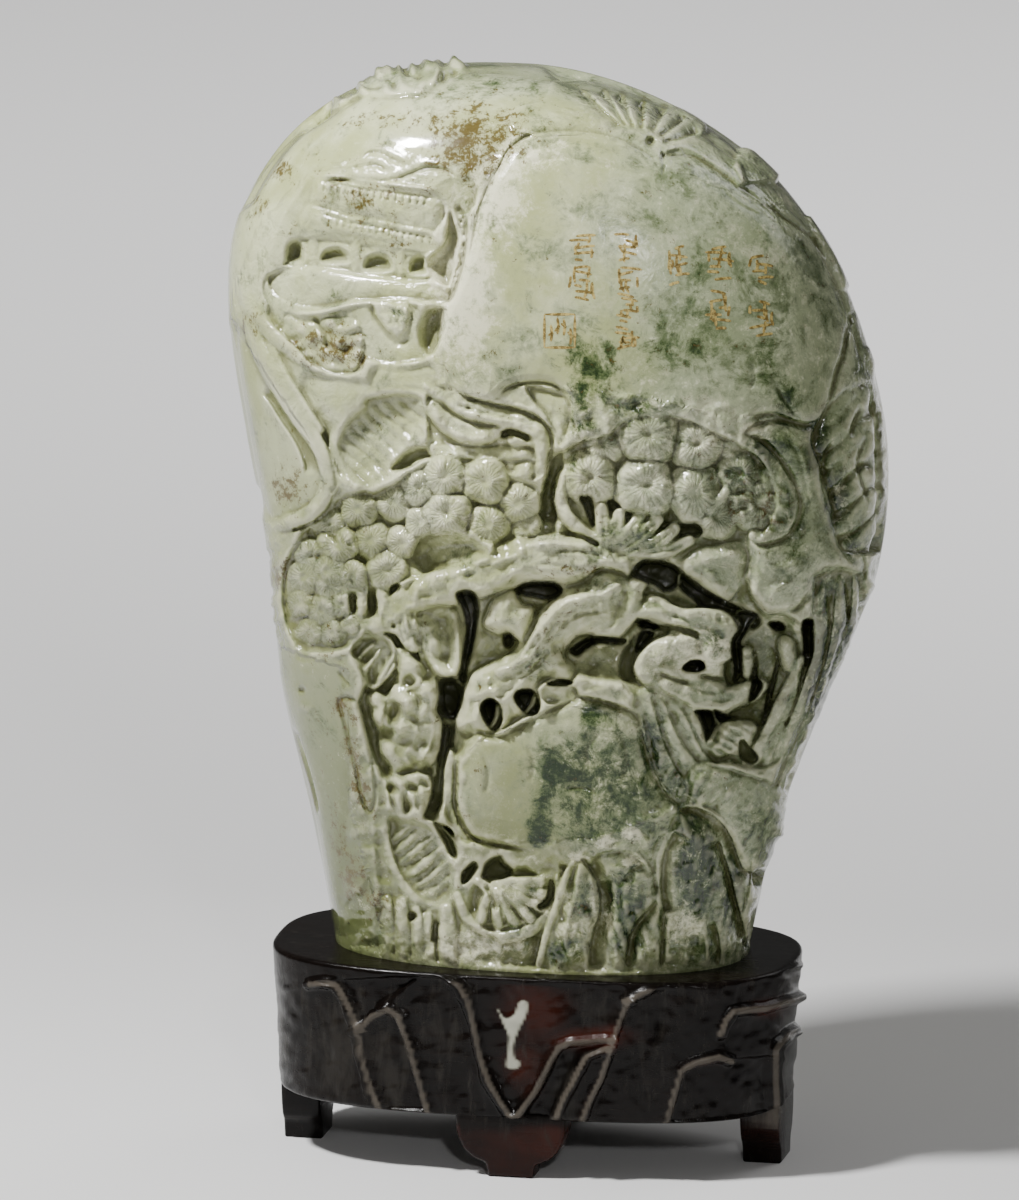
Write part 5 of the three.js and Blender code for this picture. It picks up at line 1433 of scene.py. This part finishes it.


# Where the stone's own colours lie, as soft spots (u, v, half width, half height, amount), with painted shade
# and a painted highlight among them where marked.
tint = {
    "moss": [(95, 190, 60, 70, .35), (130, 70, 110, 100, .4), (-30, 930, 90, 30, .25), (60, 900, 60, 22, .3),
        (30, 195, 46, 32, 1), (62, 188, 44, 30, 1), (-2, 160, 14, 12, .8), (98, 172, 26, 22, .9),
        (52, 248, 18, 22, .7), (76, 232, 20, 26, .6), (118, 215, 20, 44, .8), (-8, 122, 14, 20, .8),
        (45, 620, 30, 44, .45), (165, 655, 30, 22, .36), (130, 655, 24, 10, .2), (110, 590, 30, 12, .6),
        (40, 575, 18, 60, .7), (165, 715, 10, 34, .2), (240, 640, 10, 40, .3), (236, 780, 14, 30, .3),
        (180, 825, 60, 10, .15), (318, 488, 16, 34, 1), (296, 545, 14, 40, .85), (335, 440, 10, 26, .8),
        (300, 576, 30, 8, .5), (-160, 685, 18, 16, .6), (165, 90, 30, 70, 1), (205, 60, 14, 60, .9),
        (40, 50, 26, 44, .7), (85, 66, 26, 40, .75), (60, 130, 60, 22, .65), (95, 20, 24, 50, .85),
        (25, -8, 30, 16, .7), (180, 0, 50, 26, .5), (212, 515, 26, 24, .4), (262, 590, 14, 34, .7),
        (186, 326, 24, 20, .6), (110, 440, 34, 24, .55), (60, 440, 26, 20, .55), (5, 490, 12, 50, .6),
        (240, 540, 24, 22, .8), (270, 480, 16, 60, .45), (235, 130, 34, 50, .4), (-10, 60, 16, 26, .5),
        # the spots about u 240 to 315, v 240 to 350 lie over the strands on the right: dark green, and also
        # painted shade there
        (240, 300, 40, 70, .6), (315, 350, 36, 60, .8), (282, 240, 28, 70, .5), (150, 165, 24, 26, .7),
        (298, 300, 24, 90, 1), (165, 50, 26, 70, .6), (100, 640, 60, 24, .3), (280, 310, 30, 60, .45),
        (190, 420, 26, 24, .3), (-20, 310, 30, 20, .3), (-30, 22, 26, 22, .35)],
    "russet": [(-78, 878, 66, 48, 1), (-165, 900, 60, 14, .6), (-285, 845, 22, 16, .8),
        (-310, 808, 12, 16, .8), (-75, 195, 14, 8, .7), (-185, 815, 70, 30, .55), (-180, 770, 60, 20, .35),
        (-235, 655, 40, 26, .9), (-205, 640, 20, 18, .8), (-320, 680, 14, 16, .8), (-282, 500, 30, 30, .8),
        (-290, 408, 16, 20, .8), (-222, 262, 14, 16, .9), (-212, 215, 13, 26, .8), (-203, 172, 13, 26, .85),
        (-190, 150, 16, 16, .75), (-225, 115, 14, 26, .75), (-208, 70, 18, 34, .75), (-180, 45, 16, 22, .65),
        (180, 553, 16, 12, .7), (172, 530, 14, 12, .5), (0, 345, 50, 46, .35), (25, 412, 40, 12, .5),
        (235, 480, 34, 34, .5), (-165, 640, 30, 16, .3), (-240, 330, 40, 30, .3)],
    "cream": [(-105, 480, 60, 50, .55), (28, 15, 22, 14, .6), (60, 30, 16, 30, .5), (-150, 20, 60, 60, .3),
        # the spots at u -92 to -20, v 720 to 865 follow the smooth face's left edge: its cream tone and also
        # a painted highlight there
        (-45, 50, 60, 60, .35), (-92, 720, 40, 120, 1), (-60, 815, 40, 60, .9), (-20, 865, 50, 26, .7),
        (-70, -2, 60, 26, .8), (-100, 480, 110, 60, .35), (90, 530, 120, 70, .4), (65, 112, 14, 8, .8),
        (95, 120, 14, 8, .8), (95, 92, 12, 8, .8), (35, 97, 14, 8, .8), (45, 150, 24, 12, .6),
        (148, 20, 24, 24, .5), (150, 325, 60, 30, .5), (120, 290, 30, 20, .4), (-70, 570, 60, 30, .4),
        (225, 565, 14, 8, .8), (-120, 80, 50, 50, .4)],
}


def spots(name, u, v, firmness=1.7):
    total = np.zeros(len(u))
    for u0, v0, wide, high, amount in tint[name]:
        away = ((u - u0) / wide) ** 2 + ((v - v0) / high) ** 2
        total = np.maximum(total, amount * np.exp(-away ** firmness))
    return total


# Outlines of what is ground smooth, and where the paint fades or turns over.
plain = {
    "satin": [
        [(-116, 650), (-102, 720), (-75, 800), (-35, 880), (60, 885), (125, 850), (210, 822), (300, 750),
         (334, 680), (306, 586), (240, 580), (200, 575), (100, 600), (-20, 612), (-100, 600)],
        [(-96, 200), (-70, 225), (30, 262), (100, 245), (120, 190), (140, 150), (60, 118), (-60, 110),
         (-96, 130)]],
    "polish": [
        [(-360, 330), (-345, 700), (-310, 790), (-260, 838), (-180, 874), (-60, 850), (-40, 872), (0, 900),
         (60, 925), (170, 900), (215, 862), (260, 950), (0, 1040), (-300, 1000), (-420, 700)],
        [(-345, 470), (-345, 690), (-316, 640), (-262, 560), (-240, 500), (-290, 460)],
        [(-300, 330), (-215, 300), (-215, 160), (-175, 0), (-330, -20)]],
}
hiddenPolish = {"satin": 0, "polish": 0.5}
painting = {
    "facing": (-0.35, 0.15),
    "behind": (-10, 60),
    # deepest scales the painted shade in recesses
    "deepest": 60,
    # crest sizes scale the painted highlight along crests and the painted shade along creases
    "crestReach": 3,
    "crestHeight": 5,
    "rightSide": (-60, 260),
    # crown: the top is painted greyer and darker, as painted shade on the crown
    "crown": (890, 960, 0.6),
    # paintedShadeFadeUp and paintedShadeLeftEdge: painted shade that darkens the stone towards its foot and
    # its left edge
    "paintedShadeFadeUp": (-20, 980),
    "paintedShadeLeftEdge": (-215, -130, 0.4),
}


def paintStone(piece):
    mesh = piece.data
    points = (places(mesh) - origin) / unit
    normals = np.empty(len(points) * 3, np.float64)
    mesh.vertices.foreach_get("normal", normals)
    u, v = inView(points)
    a, b = behind(points)
    front = smoothstep(normals.reshape(-1, 3) @ toViewer, *painting["facing"])
    seen = np.maximum(front, 1 - smoothstep(points[:, 1], *painting["behind"]))
    depth = face.at(u, v) * seen + rear.at(a, b) * (1 - seen)
    frontCrest, rearCrest = (sheet.crests(painting["crestReach"]) for sheet in (face, rear))
    crest = face.at(u, v, frontCrest) * seen + rear.at(a, b, rearCrest) * (1 - seen)
    writeAttribute(mesh, "needleU", face.at(u, v, face.needleU))
    writeAttribute(mesh, "needleV", face.at(u, v, face.needleV))
    writeAttribute(mesh, "needled", np.floor(face.at(u, v, face.needled) + 0.01) * seen)
    # cavity carries the painted shade in recesses
    writeAttribute(mesh, "cavity", np.clip(depth / painting["deepest"], -0.2, 1.4))
    # crest carries the painted highlight along crests and the painted shade along creases
    writeAttribute(mesh, "crest", np.clip(crest / painting["crestHeight"], -1, 1))
    for name in tint:
        writeAttribute(mesh, name, spots(name, u, v) * seen)
    for name, outlines in plain.items():
        calm = np.zeros(len(u))
        for outline in outlines:
            calm = np.maximum(calm, within(u, v, np.array(outline, float)))
        writeAttribute(mesh, name, calm * seen + (1 - seen) * hiddenPolish[name])
    # greyer stone to the right, and over the crown painted shade that greys and darkens the top
    low, high, most = painting["crown"]
    side = smoothstep(u, *painting["rightSide"]) + smoothstep(v, low, high) * most
    writeAttribute(mesh, "side", np.clip(side, 0, 1))
    # Painted shade: the stone darkens towards its foot and its left edge.
    low, high, most = painting["paintedShadeLeftEdge"]
    clearOfPaintedShade = smoothstep(v, *painting["paintedShadeFadeUp"]) + smoothstep(u, low, high) * most
    writeAttribute(mesh, "clearOfPaintedShade", np.clip(clearOfPaintedShade, 0, 1))


paintStone(stone)

jadeTones = {
    "pale": [(166, 171, 120), (200, 203, 164)],
    "grey": [(134, 144, 108), (168, 175, 142)],
    "green": (60, 80, 32),
    "dark": (16, 38, 8),
    "shade": (98, 106, 72),
    "veil": (112, 122, 92),
    # low: colour of the painted shade towards the foot and the left edge
    "low": (90, 98, 56),
    "pepper": (58, 64, 40),
    "cream": (224, 222, 190),
    "russet": (82, 68, 26),
    # crease: colour of the painted shade along creases
    "crease": (88, 88, 52),
    # oliveRecessShade and deep: colours of the painted shade in recesses
    "oliveRecessShade": (96, 100, 62),
    "deep": (24, 26, 12),
}


# Size in metres, detail, roughness and distortion of each unevenness in the stone's colour.
jadeNoise = {
    "cloud": (0.034, 3, 0.6, 0.4),
    "patch": (0.014, 8, 0.72, 0.5),
    "speck": (0.0045, 8, 0.76, 0.4),
    "grit": (0.0022, 6, 0.8, 0.2),
    "fine": (0.0012, 5, 0.7, 0.3),
}


# Each mask is a sum of unevenness and painted attributes, stepped between two limits.
def jadeFinish():
    f = Finish("mottledJade")
    tone = {name: linear(*value) for name, value in jadeTones.items() if isinstance(value, tuple)}
    moss, russet, cream, cavity, crest, side = (
        f.attribute(name) for name in ("moss", "russet", "cream", "cavity", "crest", "side"))
    polish, satin, clearOfPaintedShade, needled, needleU, needleV = (
        f.attribute(name) for name in ("polish", "satin", "clearOfPaintedShade", "needled", "needleU", "needleV"))
    cloud, patch, speck, grit, fine = (f.noise(*settings) - 0.5 for settings in jadeNoise.values())
    pale, grey = (f.mix((cloud + patch * 0.6 + 0.5).step(0.36, 0.64), *(linear(*c) for c in jadeTones[name]))
                  for name in ("pale", "grey"))
    worn = (patch * 3.0 + speck * 2.2 + fine * 1.4 + side * 0.2 + 0.36).step(0.38, 1.05)
    veil = (cloud * 1.4 + patch * 2.6 + speck * 2.4 + 0.45).step(0.2, 0.8)
    streaks = (patch * -3.0 + speck * 2.0 + grit * 1.4).step(0.12, 0.6)
    pepper = (grit * 3.4 + patch * 1.6 + side * 0.15 + moss * 0.3).step(0.42, 0.8)
    green = (moss * 1.05 + side * 0.16 + patch * 3.0 + speck * 2.0).step(0.1, 1.0)
    dark = (moss * 1.0 + side * 0.04 + patch * 2.4 + speck * 3.0 + grit * 1.6).step(0.4, 1.15)
    flecks = cream * 0.85 + side * 0.12 + moss * 0.12 - speck * 2.8 - patch * 0.8 + fine * 1.2
    rust = (russet * 0.74 + grit * 3.8 + speck * 2.6).step(0.47, 0.86)
    stain = (russet * 0.8 + patch * 1.6 + speck * 1.6).step(0.3, 1.1)
    base = f.layered(f.mix((side * 1.1 + cloud * 0.6).step(0.1, 0.9), pale, grey), (
        # painted shade, darker towards the foot and the left edge
        ((1 - clearOfPaintedShade) * (1 - side * 0.6) * 0.95, tone["low"]),
        (worn * (side * 0.45 + 0.34 - polish * 0.14), tone["shade"]),
        (veil * (satin * 0.35 + 0.12), tone["veil"]),
        (streaks * (0.2 + side * 0.2 - polish * 0.12), tone["cream"]),
        (pepper * (0.34 + side * 0.26 - polish * 0.2), tone["pepper"]),
        (green * 0.85, tone["green"]),
        (dark * 0.94, tone["dark"]),
        (flecks.step(0.3, 0.95) * 0.85, tone["cream"]),
        # painted highlight, cream along crests
        (crest.step(0.05, 0.75) * 0.42 * (1 - moss * 0.5), tone["cream"]),
        # painted shade, darker along creases
        ((crest * -1.0 + speck * 0.8).step(0.08, 0.75) * 0.62, tone["crease"]),
        (rust * 0.9, tone["russet"]),
        (stain * 0.4, tone["russet"]),
        # painted shade in recesses, darkest in the deepest
        ((cavity + speck * 0.3).step(0.2, 0.85) * 0.5, tone["oliveRecessShade"]),
        (cavity.step(0.75, 1.3) * 0.8, tone["deep"])))
    rough = 0.14 - polish * 0.02 + satin * 0.09 + fine * 0.2 + worn * 0.05
    spread = (needleU * needleU + needleV * needleV).power(0.5)
    angle = needleV.maths("ARCTAN2", needleU)
    wave = (angle * 11 + fine * 5 + speck * 6).maths("SINE").maths("ABSOLUTE").power(0.5)
    needle = wave * spread.step(0.06, 0.3) * (1 - spread.step(0.55, 0.95)) * needled
    tooling = f.noise(0.0056, 3, 0.5, 0.5) * 1.2 + f.noise(0.0015, 3, 0.6) * 0.2
    height = tooling * (1.05 - polish * 1.0 - satin * 0.75 - needled * 0.85).most(0.05) + needle * 0.3
    return f.end({"Base Color": base, "Roughness": rough, "Normal": f.bump(height, 0.0009, 0.9), "IOR": 1.6,
                  "Subsurface Weight": 0.08, "Subsurface Radius": (0.9, 1.0, 0.5), "Subsurface Scale": 0.0013,
                  "Specular IOR Level": 0.26, "Coat Weight": (0.55 - satin * 0.45).most(0),
                  "Coat Roughness": 0.05})


def woodFinish():
    f = Finish("darkHardwood")
    grain = f.noise(0.0016, 5, 0.65, 0.3, f.scaled((0.10, 1, 1)))
    figure = f.noise(0.022, 3, 0.55, 0.6, f.scaled((0.45, 1, 1)))
    streak = f.noise(0.0035, 6, 0.7, 0.4, f.scaled((1, 1, 0.22), turned=(0, 0.3, 0)))
    worn, dustAndSheen, red, residue = (f.attribute(name) for name in ("worn", "dustAndSheen", "red", "residue"))
    base = f.layered(f.mix(figure.step(0.3, 0.7), linear(7, 5, 4), linear(13, 8, 6)), (
        (grain.step(0.45, 0.75) * 0.5, linear(20, 12, 8)),
        ((red * 0.8 + (figure - 0.5) * 1.4).step(0.2, 0.9) * 0.8, linear(54, 20, 10)),
        # dust, with a painted grey sheen on the slabs
        ((dustAndSheen + (streak - 0.5) * 3.2).step(0.1, 0.95) * 0.8, linear(38, 35, 31)),
        # rib edges: lighter by wear and by a painted highlight
        ((worn + (streak - 0.5) * 1.2).step(0.1, 1.1) * 0.8, linear(84, 78, 70)),
        (residue, linear(160, 160, 146))))
    rough = 0.24 + (figure - 0.5) * 0.2 + (grain - 0.5) * 0.15 + dustAndSheen * 0.12 + residue * 0.3
    normal = f.bump(grain * 0.6 + figure + streak * 0.8, 0.0004, 0.5)
    return f.end({"Base Color": base, "Roughness": rough, "Normal": normal, "Coat Weight": 0.06,
                  "Coat Roughness": 0.12, "Specular IOR Level": 0.12})


# Dust with a painted grey sheen, and warmer wood on the stand, as soft spots (u, v, half width, half height,
# amount), and the outline of the pale residue on one slab.
standTint = {
    "dustAndSheen": [
        (-225, -120, 34, 60, .9), (-165, -130, 26, 56, .7), (-115, -90, 24, 70, .55), (62, -70, 26, 26, .5),
        (20, -160, 20, 40, .8), (120, -100, 30, 60, .45), (-290, -110, 24, 30, .5)],
    "red": [
        (60, -100, 70, 14, 1), (-10, -70, 50, 40, .9), (245, -72, 44, 16, .8), (180, -130, 40, 10, .6),
        (-25, -140, 26, 36, .8)],
}
residueLine = [
    (-52, -70), (-44, -80), (-34, -76), (-28, -62), (-20, -62), (-20, -74), (-27, -90), (-34, -106),
    (-34, -122), (-28, -128), (-30, -135), (-42, -134), (-41, -118), (-40, -100), (-46, -86)]
standPainting = {
    "front": (-40, 20),  # how far back the paint of the visible side reaches
    "top": (3, 9),
    "lowest": (162, 176),
    "forward": (60, 120),
    "lowRed": (0.3, 0.5),
}


def paintStand(piece):
    points = (places(piece.data) - origin) / unit
    u, v = inView(points)
    forward, down = -points[:, 1], -points[:, 2]
    near = smoothstep(forward, *standPainting["front"]) * smoothstep(down, *standPainting["top"])
    least, more = standPainting["lowRed"]
    red = smoothstep(down, *standPainting["lowest"]) * (
        least + more * smoothstep(forward, *standPainting["forward"]))
    # worn: rib edges lighter, part wear and part painted highlight
    paint = {"worn": edges.at(u, v) * near, "red": red, "dustAndSheen": np.zeros(len(u))}
    for name, marks in standTint.items():
        for u0, v0, wide, high, amount in marks:
            spot = amount * np.exp(-(((u - u0) / wide) ** 2 + ((v - v0) / high) ** 2)) * near
            paint[name] = np.maximum(paint[name], spot)
    paint["residue"] = smoothstep(inwards(u, v, curve(residueLine, closed=True)), -1, 1.5) * near
    for name, amount in paint.items():
        writeAttribute(piece.data, name, amount)


jade, wood = jadeFinish(), woodFinish()
stone.data.materials.append(jade)
for piece in (carvedStand, standFeet):
    paintStand(piece)
    piece.data.materials.append(wood)
print("finishes made")

# Inscription: rows of short gilt strokes that are no letters, cut where the real ones are.
inscription = {
    # u of each column, then v, width and height of each of its cells
    "columns": [
        (235, [(736, 26, 30), (684, 28, 38)]),
        (188, [(744, 28, 38), (692, 28, 42)]),
        (144, [(741, 28, 42)]),
        (88, [(761, 26, 30), (724, 28, 32), (692, 26, 24), (663, 26, 22)]),
        (40, [(761, 26, 30), (722, 26, 38)])],
    "box": [(-1, 652), (32, 652), (32, 688), (-1, 688), (-1, 652)],
    # numbers of rows and stems in a cell, then how their places and lengths vary, as shares of the cell
    "rows": (4, 5, 5, 6),
    "stems": (4, 5, 6),
    "rowSpan": 0.9,
    "rowLength": (0.16, 0.46),
    "rowPlace": (-0.2, 0.2),
    "stemPlace": (-0.48, 0.48),
    "stemTop": (-0.1, 0.5),
    "stemLength": (0.2, 0.5),
    # and in the sheet's own units
    "rowSway": (-1.2, 1.2),
    "rowLean": (-2.2, 2.2),
    "rowRise": 0.5,
    "stemBend": (-1.5, 1.5),
    "stemLean": (-3, 3),
    "halfStroke": 1.5,
    "narrowEnd": 0.45,
    "proud": 0.00004,
    "thickness": 0.00008,
    "seed": 7,
}
tree = BVHTree.FromPolygons([v.co.copy() for v in stone.data.vertices],
                            [tuple(p.vertices) for p in stone.data.polygons])


def onStone(u, v, away=0.4):
    start = Vector(origin + (rightward * u + upward * v) * unit + toViewer * away)
    return tree.ray_cast(start, Vector(-toViewer))[:2]


# Rows that lie across a cell, then stems that drop through them.
def strokesOfCell(chance, u0, v0, wide, high):
    def varied(name):
        return chance.uniform(*inscription[name])

    strokes = []
    rows, span = chance.choice(inscription["rows"]), inscription["rowSpan"]
    for k in range(rows):
        v = v0 + high * (span / 2 - span * k / (rows - 1)) + varied("rowSway")
        reach = wide * varied("rowLength")
        u = u0 + wide * varied("rowPlace")
        lean = varied("rowLean")
        strokes.append([(u - reach, v - lean), (u, v + inscription["rowRise"]), (u + reach, v + lean)])
    for k in range(chance.choice(inscription["stems"])):
        u = u0 + wide * varied("stemPlace")
        top = v0 + high * varied("stemTop")
        drop = high * varied("stemLength")
        bend, lean = varied("stemBend"), varied("stemLean")
        strokes.append([(u, top), (u + bend, top - drop / 2), (u + lean, top - drop)])
    return strokes


def boxedStrokes(chance):
    box = inscription["box"]
    strokes = [list(pair) for pair in zip(box, box[1:])]
    for k in range(4):
        u, v = 6 + 7 * k, 670 + chance.uniform(-8, 8)
        strokes.append([(u, v - 9), (u + 1, v), (u, v + 9)])
        strokes.append([(u - 3, v + chance.uniform(-6, 6)), (u + 3, v)])
    return strokes


def inscriptionShape():
    chance = random.Random(inscription["seed"])
    bm = bmesh.new()
    strokes = []
    for u0, cells in inscription["columns"]:
        for cell in cells:
            strokes += strokesOfCell(chance, u0, *cell)
    for line in strokes + boxedStrokes(chance):
        run = curve(line, steps=3)
        previous = None
        for i, (u, v) in enumerate(run):
            ahead = run[min(i + 1, len(run) - 1)] - run[max(i - 1, 0)]
            ahead = ahead / max(np.hypot(*ahead), 1e-6)
            wide = inscription["halfStroke"] * (inscription["narrowEnd"] if i in (0, len(run) - 1) else 1)
            pair = []
            for way in (-1, 1):
                hit, normal = onStone(u - ahead[1] * wide * way, v + ahead[0] * wide * way)
                if hit:
                    pair.append(bm.verts.new(hit + normal * inscription["proud"]))
            whole = len(pair) == 2
            if whole and previous:
                bm.faces.new((previous[0], pair[0], pair[1], previous[1]))
            previous = pair if whole else None
    for f in bm.faces:
        f.normal_update()
        if f.normal.dot(Vector(toViewer)) < 0:
            f.normal_flip()
    bmesh.ops.solidify(bm, geom=bm.faces[:], thickness=inscription["thickness"])
    piece = finished("inscription", meshOf("inscription", bm))
    f = Finish("gilding")
    worn = f.noise(0.0012, 4, 0.7)
    base = f.mix(worn.step(0.42, 0.6), linear(112, 92, 40), linear(184, 164, 96))
    piece.data.materials.append(f.end({"Base Color": base, "Roughness": 0.5, "Metallic": 0.1}))
    return piece


strokes = inscriptionShape()
print("inscription", len(strokes.data.polygons))

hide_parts("jade_boulder")
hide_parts("wood_stand")
for piece in (stone, carvedStand, standFeet, strokes):
    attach(piece, "root")

# Floor, light and camera.
studio = {
    "floor": 6.0,
    "floorTones": ((0.78, 0.775, 0.77), (0.80, 0.795, 0.79)),
    # place, what it points at, size and power
    "lamps": {"key": ((-0.31, -0.25, 0.70), (0, 0, 0.17), (0.08, 0.08), 10),
              "fill": ((0.46, -1.50, 0.70), (0, 0, 0.17), (0.08, 0.08), 4.6),
              "rim": ((0.9, 0.9, 1.2), (0, 0, 0.16), (0.8, 0.8), 5),
              "backdrop": ((0, 0.6, 1.0), (0, 3.4, 0), (1.6, 0.5), 26)},
    "air": ((1.0, 0.985, 0.96, 1), 0.12),
    "distance": 9.0,
    "span": 0.30296,  # width of the view at the stone
    "sensor": 36,
    "aim": (-0.00896, 0.0868),
}


def floorShape():
    bm = bmesh.new()
    bmesh.ops.create_grid(bm, x_segments=2, y_segments=2, size=studio["floor"])
    floor = finished("floor", meshOf("floor", bm))
    f = Finish("paleFloor")
    floor.data.materials.append(f.end({"Base Color": f.mix(f.noise(0.4, 2, 0.5), *studio["floorTones"]),
                                       "Roughness": 0.7}))


def lamp(name, place, target, size, power):
    light = bpy.data.lights.new(name, "AREA")
    light.shape, light.size, light.size_y, light.energy = "RECTANGLE", *size, power
    piece = finished(name, light)
    piece.location = place
    piece.rotation_euler = (Vector(target) - Vector(place)).to_track_quat("-Z", "Y").to_euler()


floorShape()
for name, settings in studio["lamps"].items():
    lamp(name, *settings)
world = bpy.data.worlds.new("studio")
world.use_nodes = True
for socket, value in zip(world.node_tree.nodes["Background"].inputs, studio["air"]):
    socket.default_value = value
bpy.context.scene.world = world

aim = origin + rightward * studio["aim"][0] + upward * studio["aim"][1]
lens = bpy.data.cameras.new("camera")
lens.lens, lens.sensor_width = studio["sensor"] * studio["distance"] / studio["span"], studio["sensor"]
camera = finished("camera", lens)
camera.location = Vector(aim + toViewer * studio["distance"])
camera.rotation_euler = Vector(-toViewer).to_track_quat("-Z", "Y").to_euler()
bpy.context.scene.camera = camera
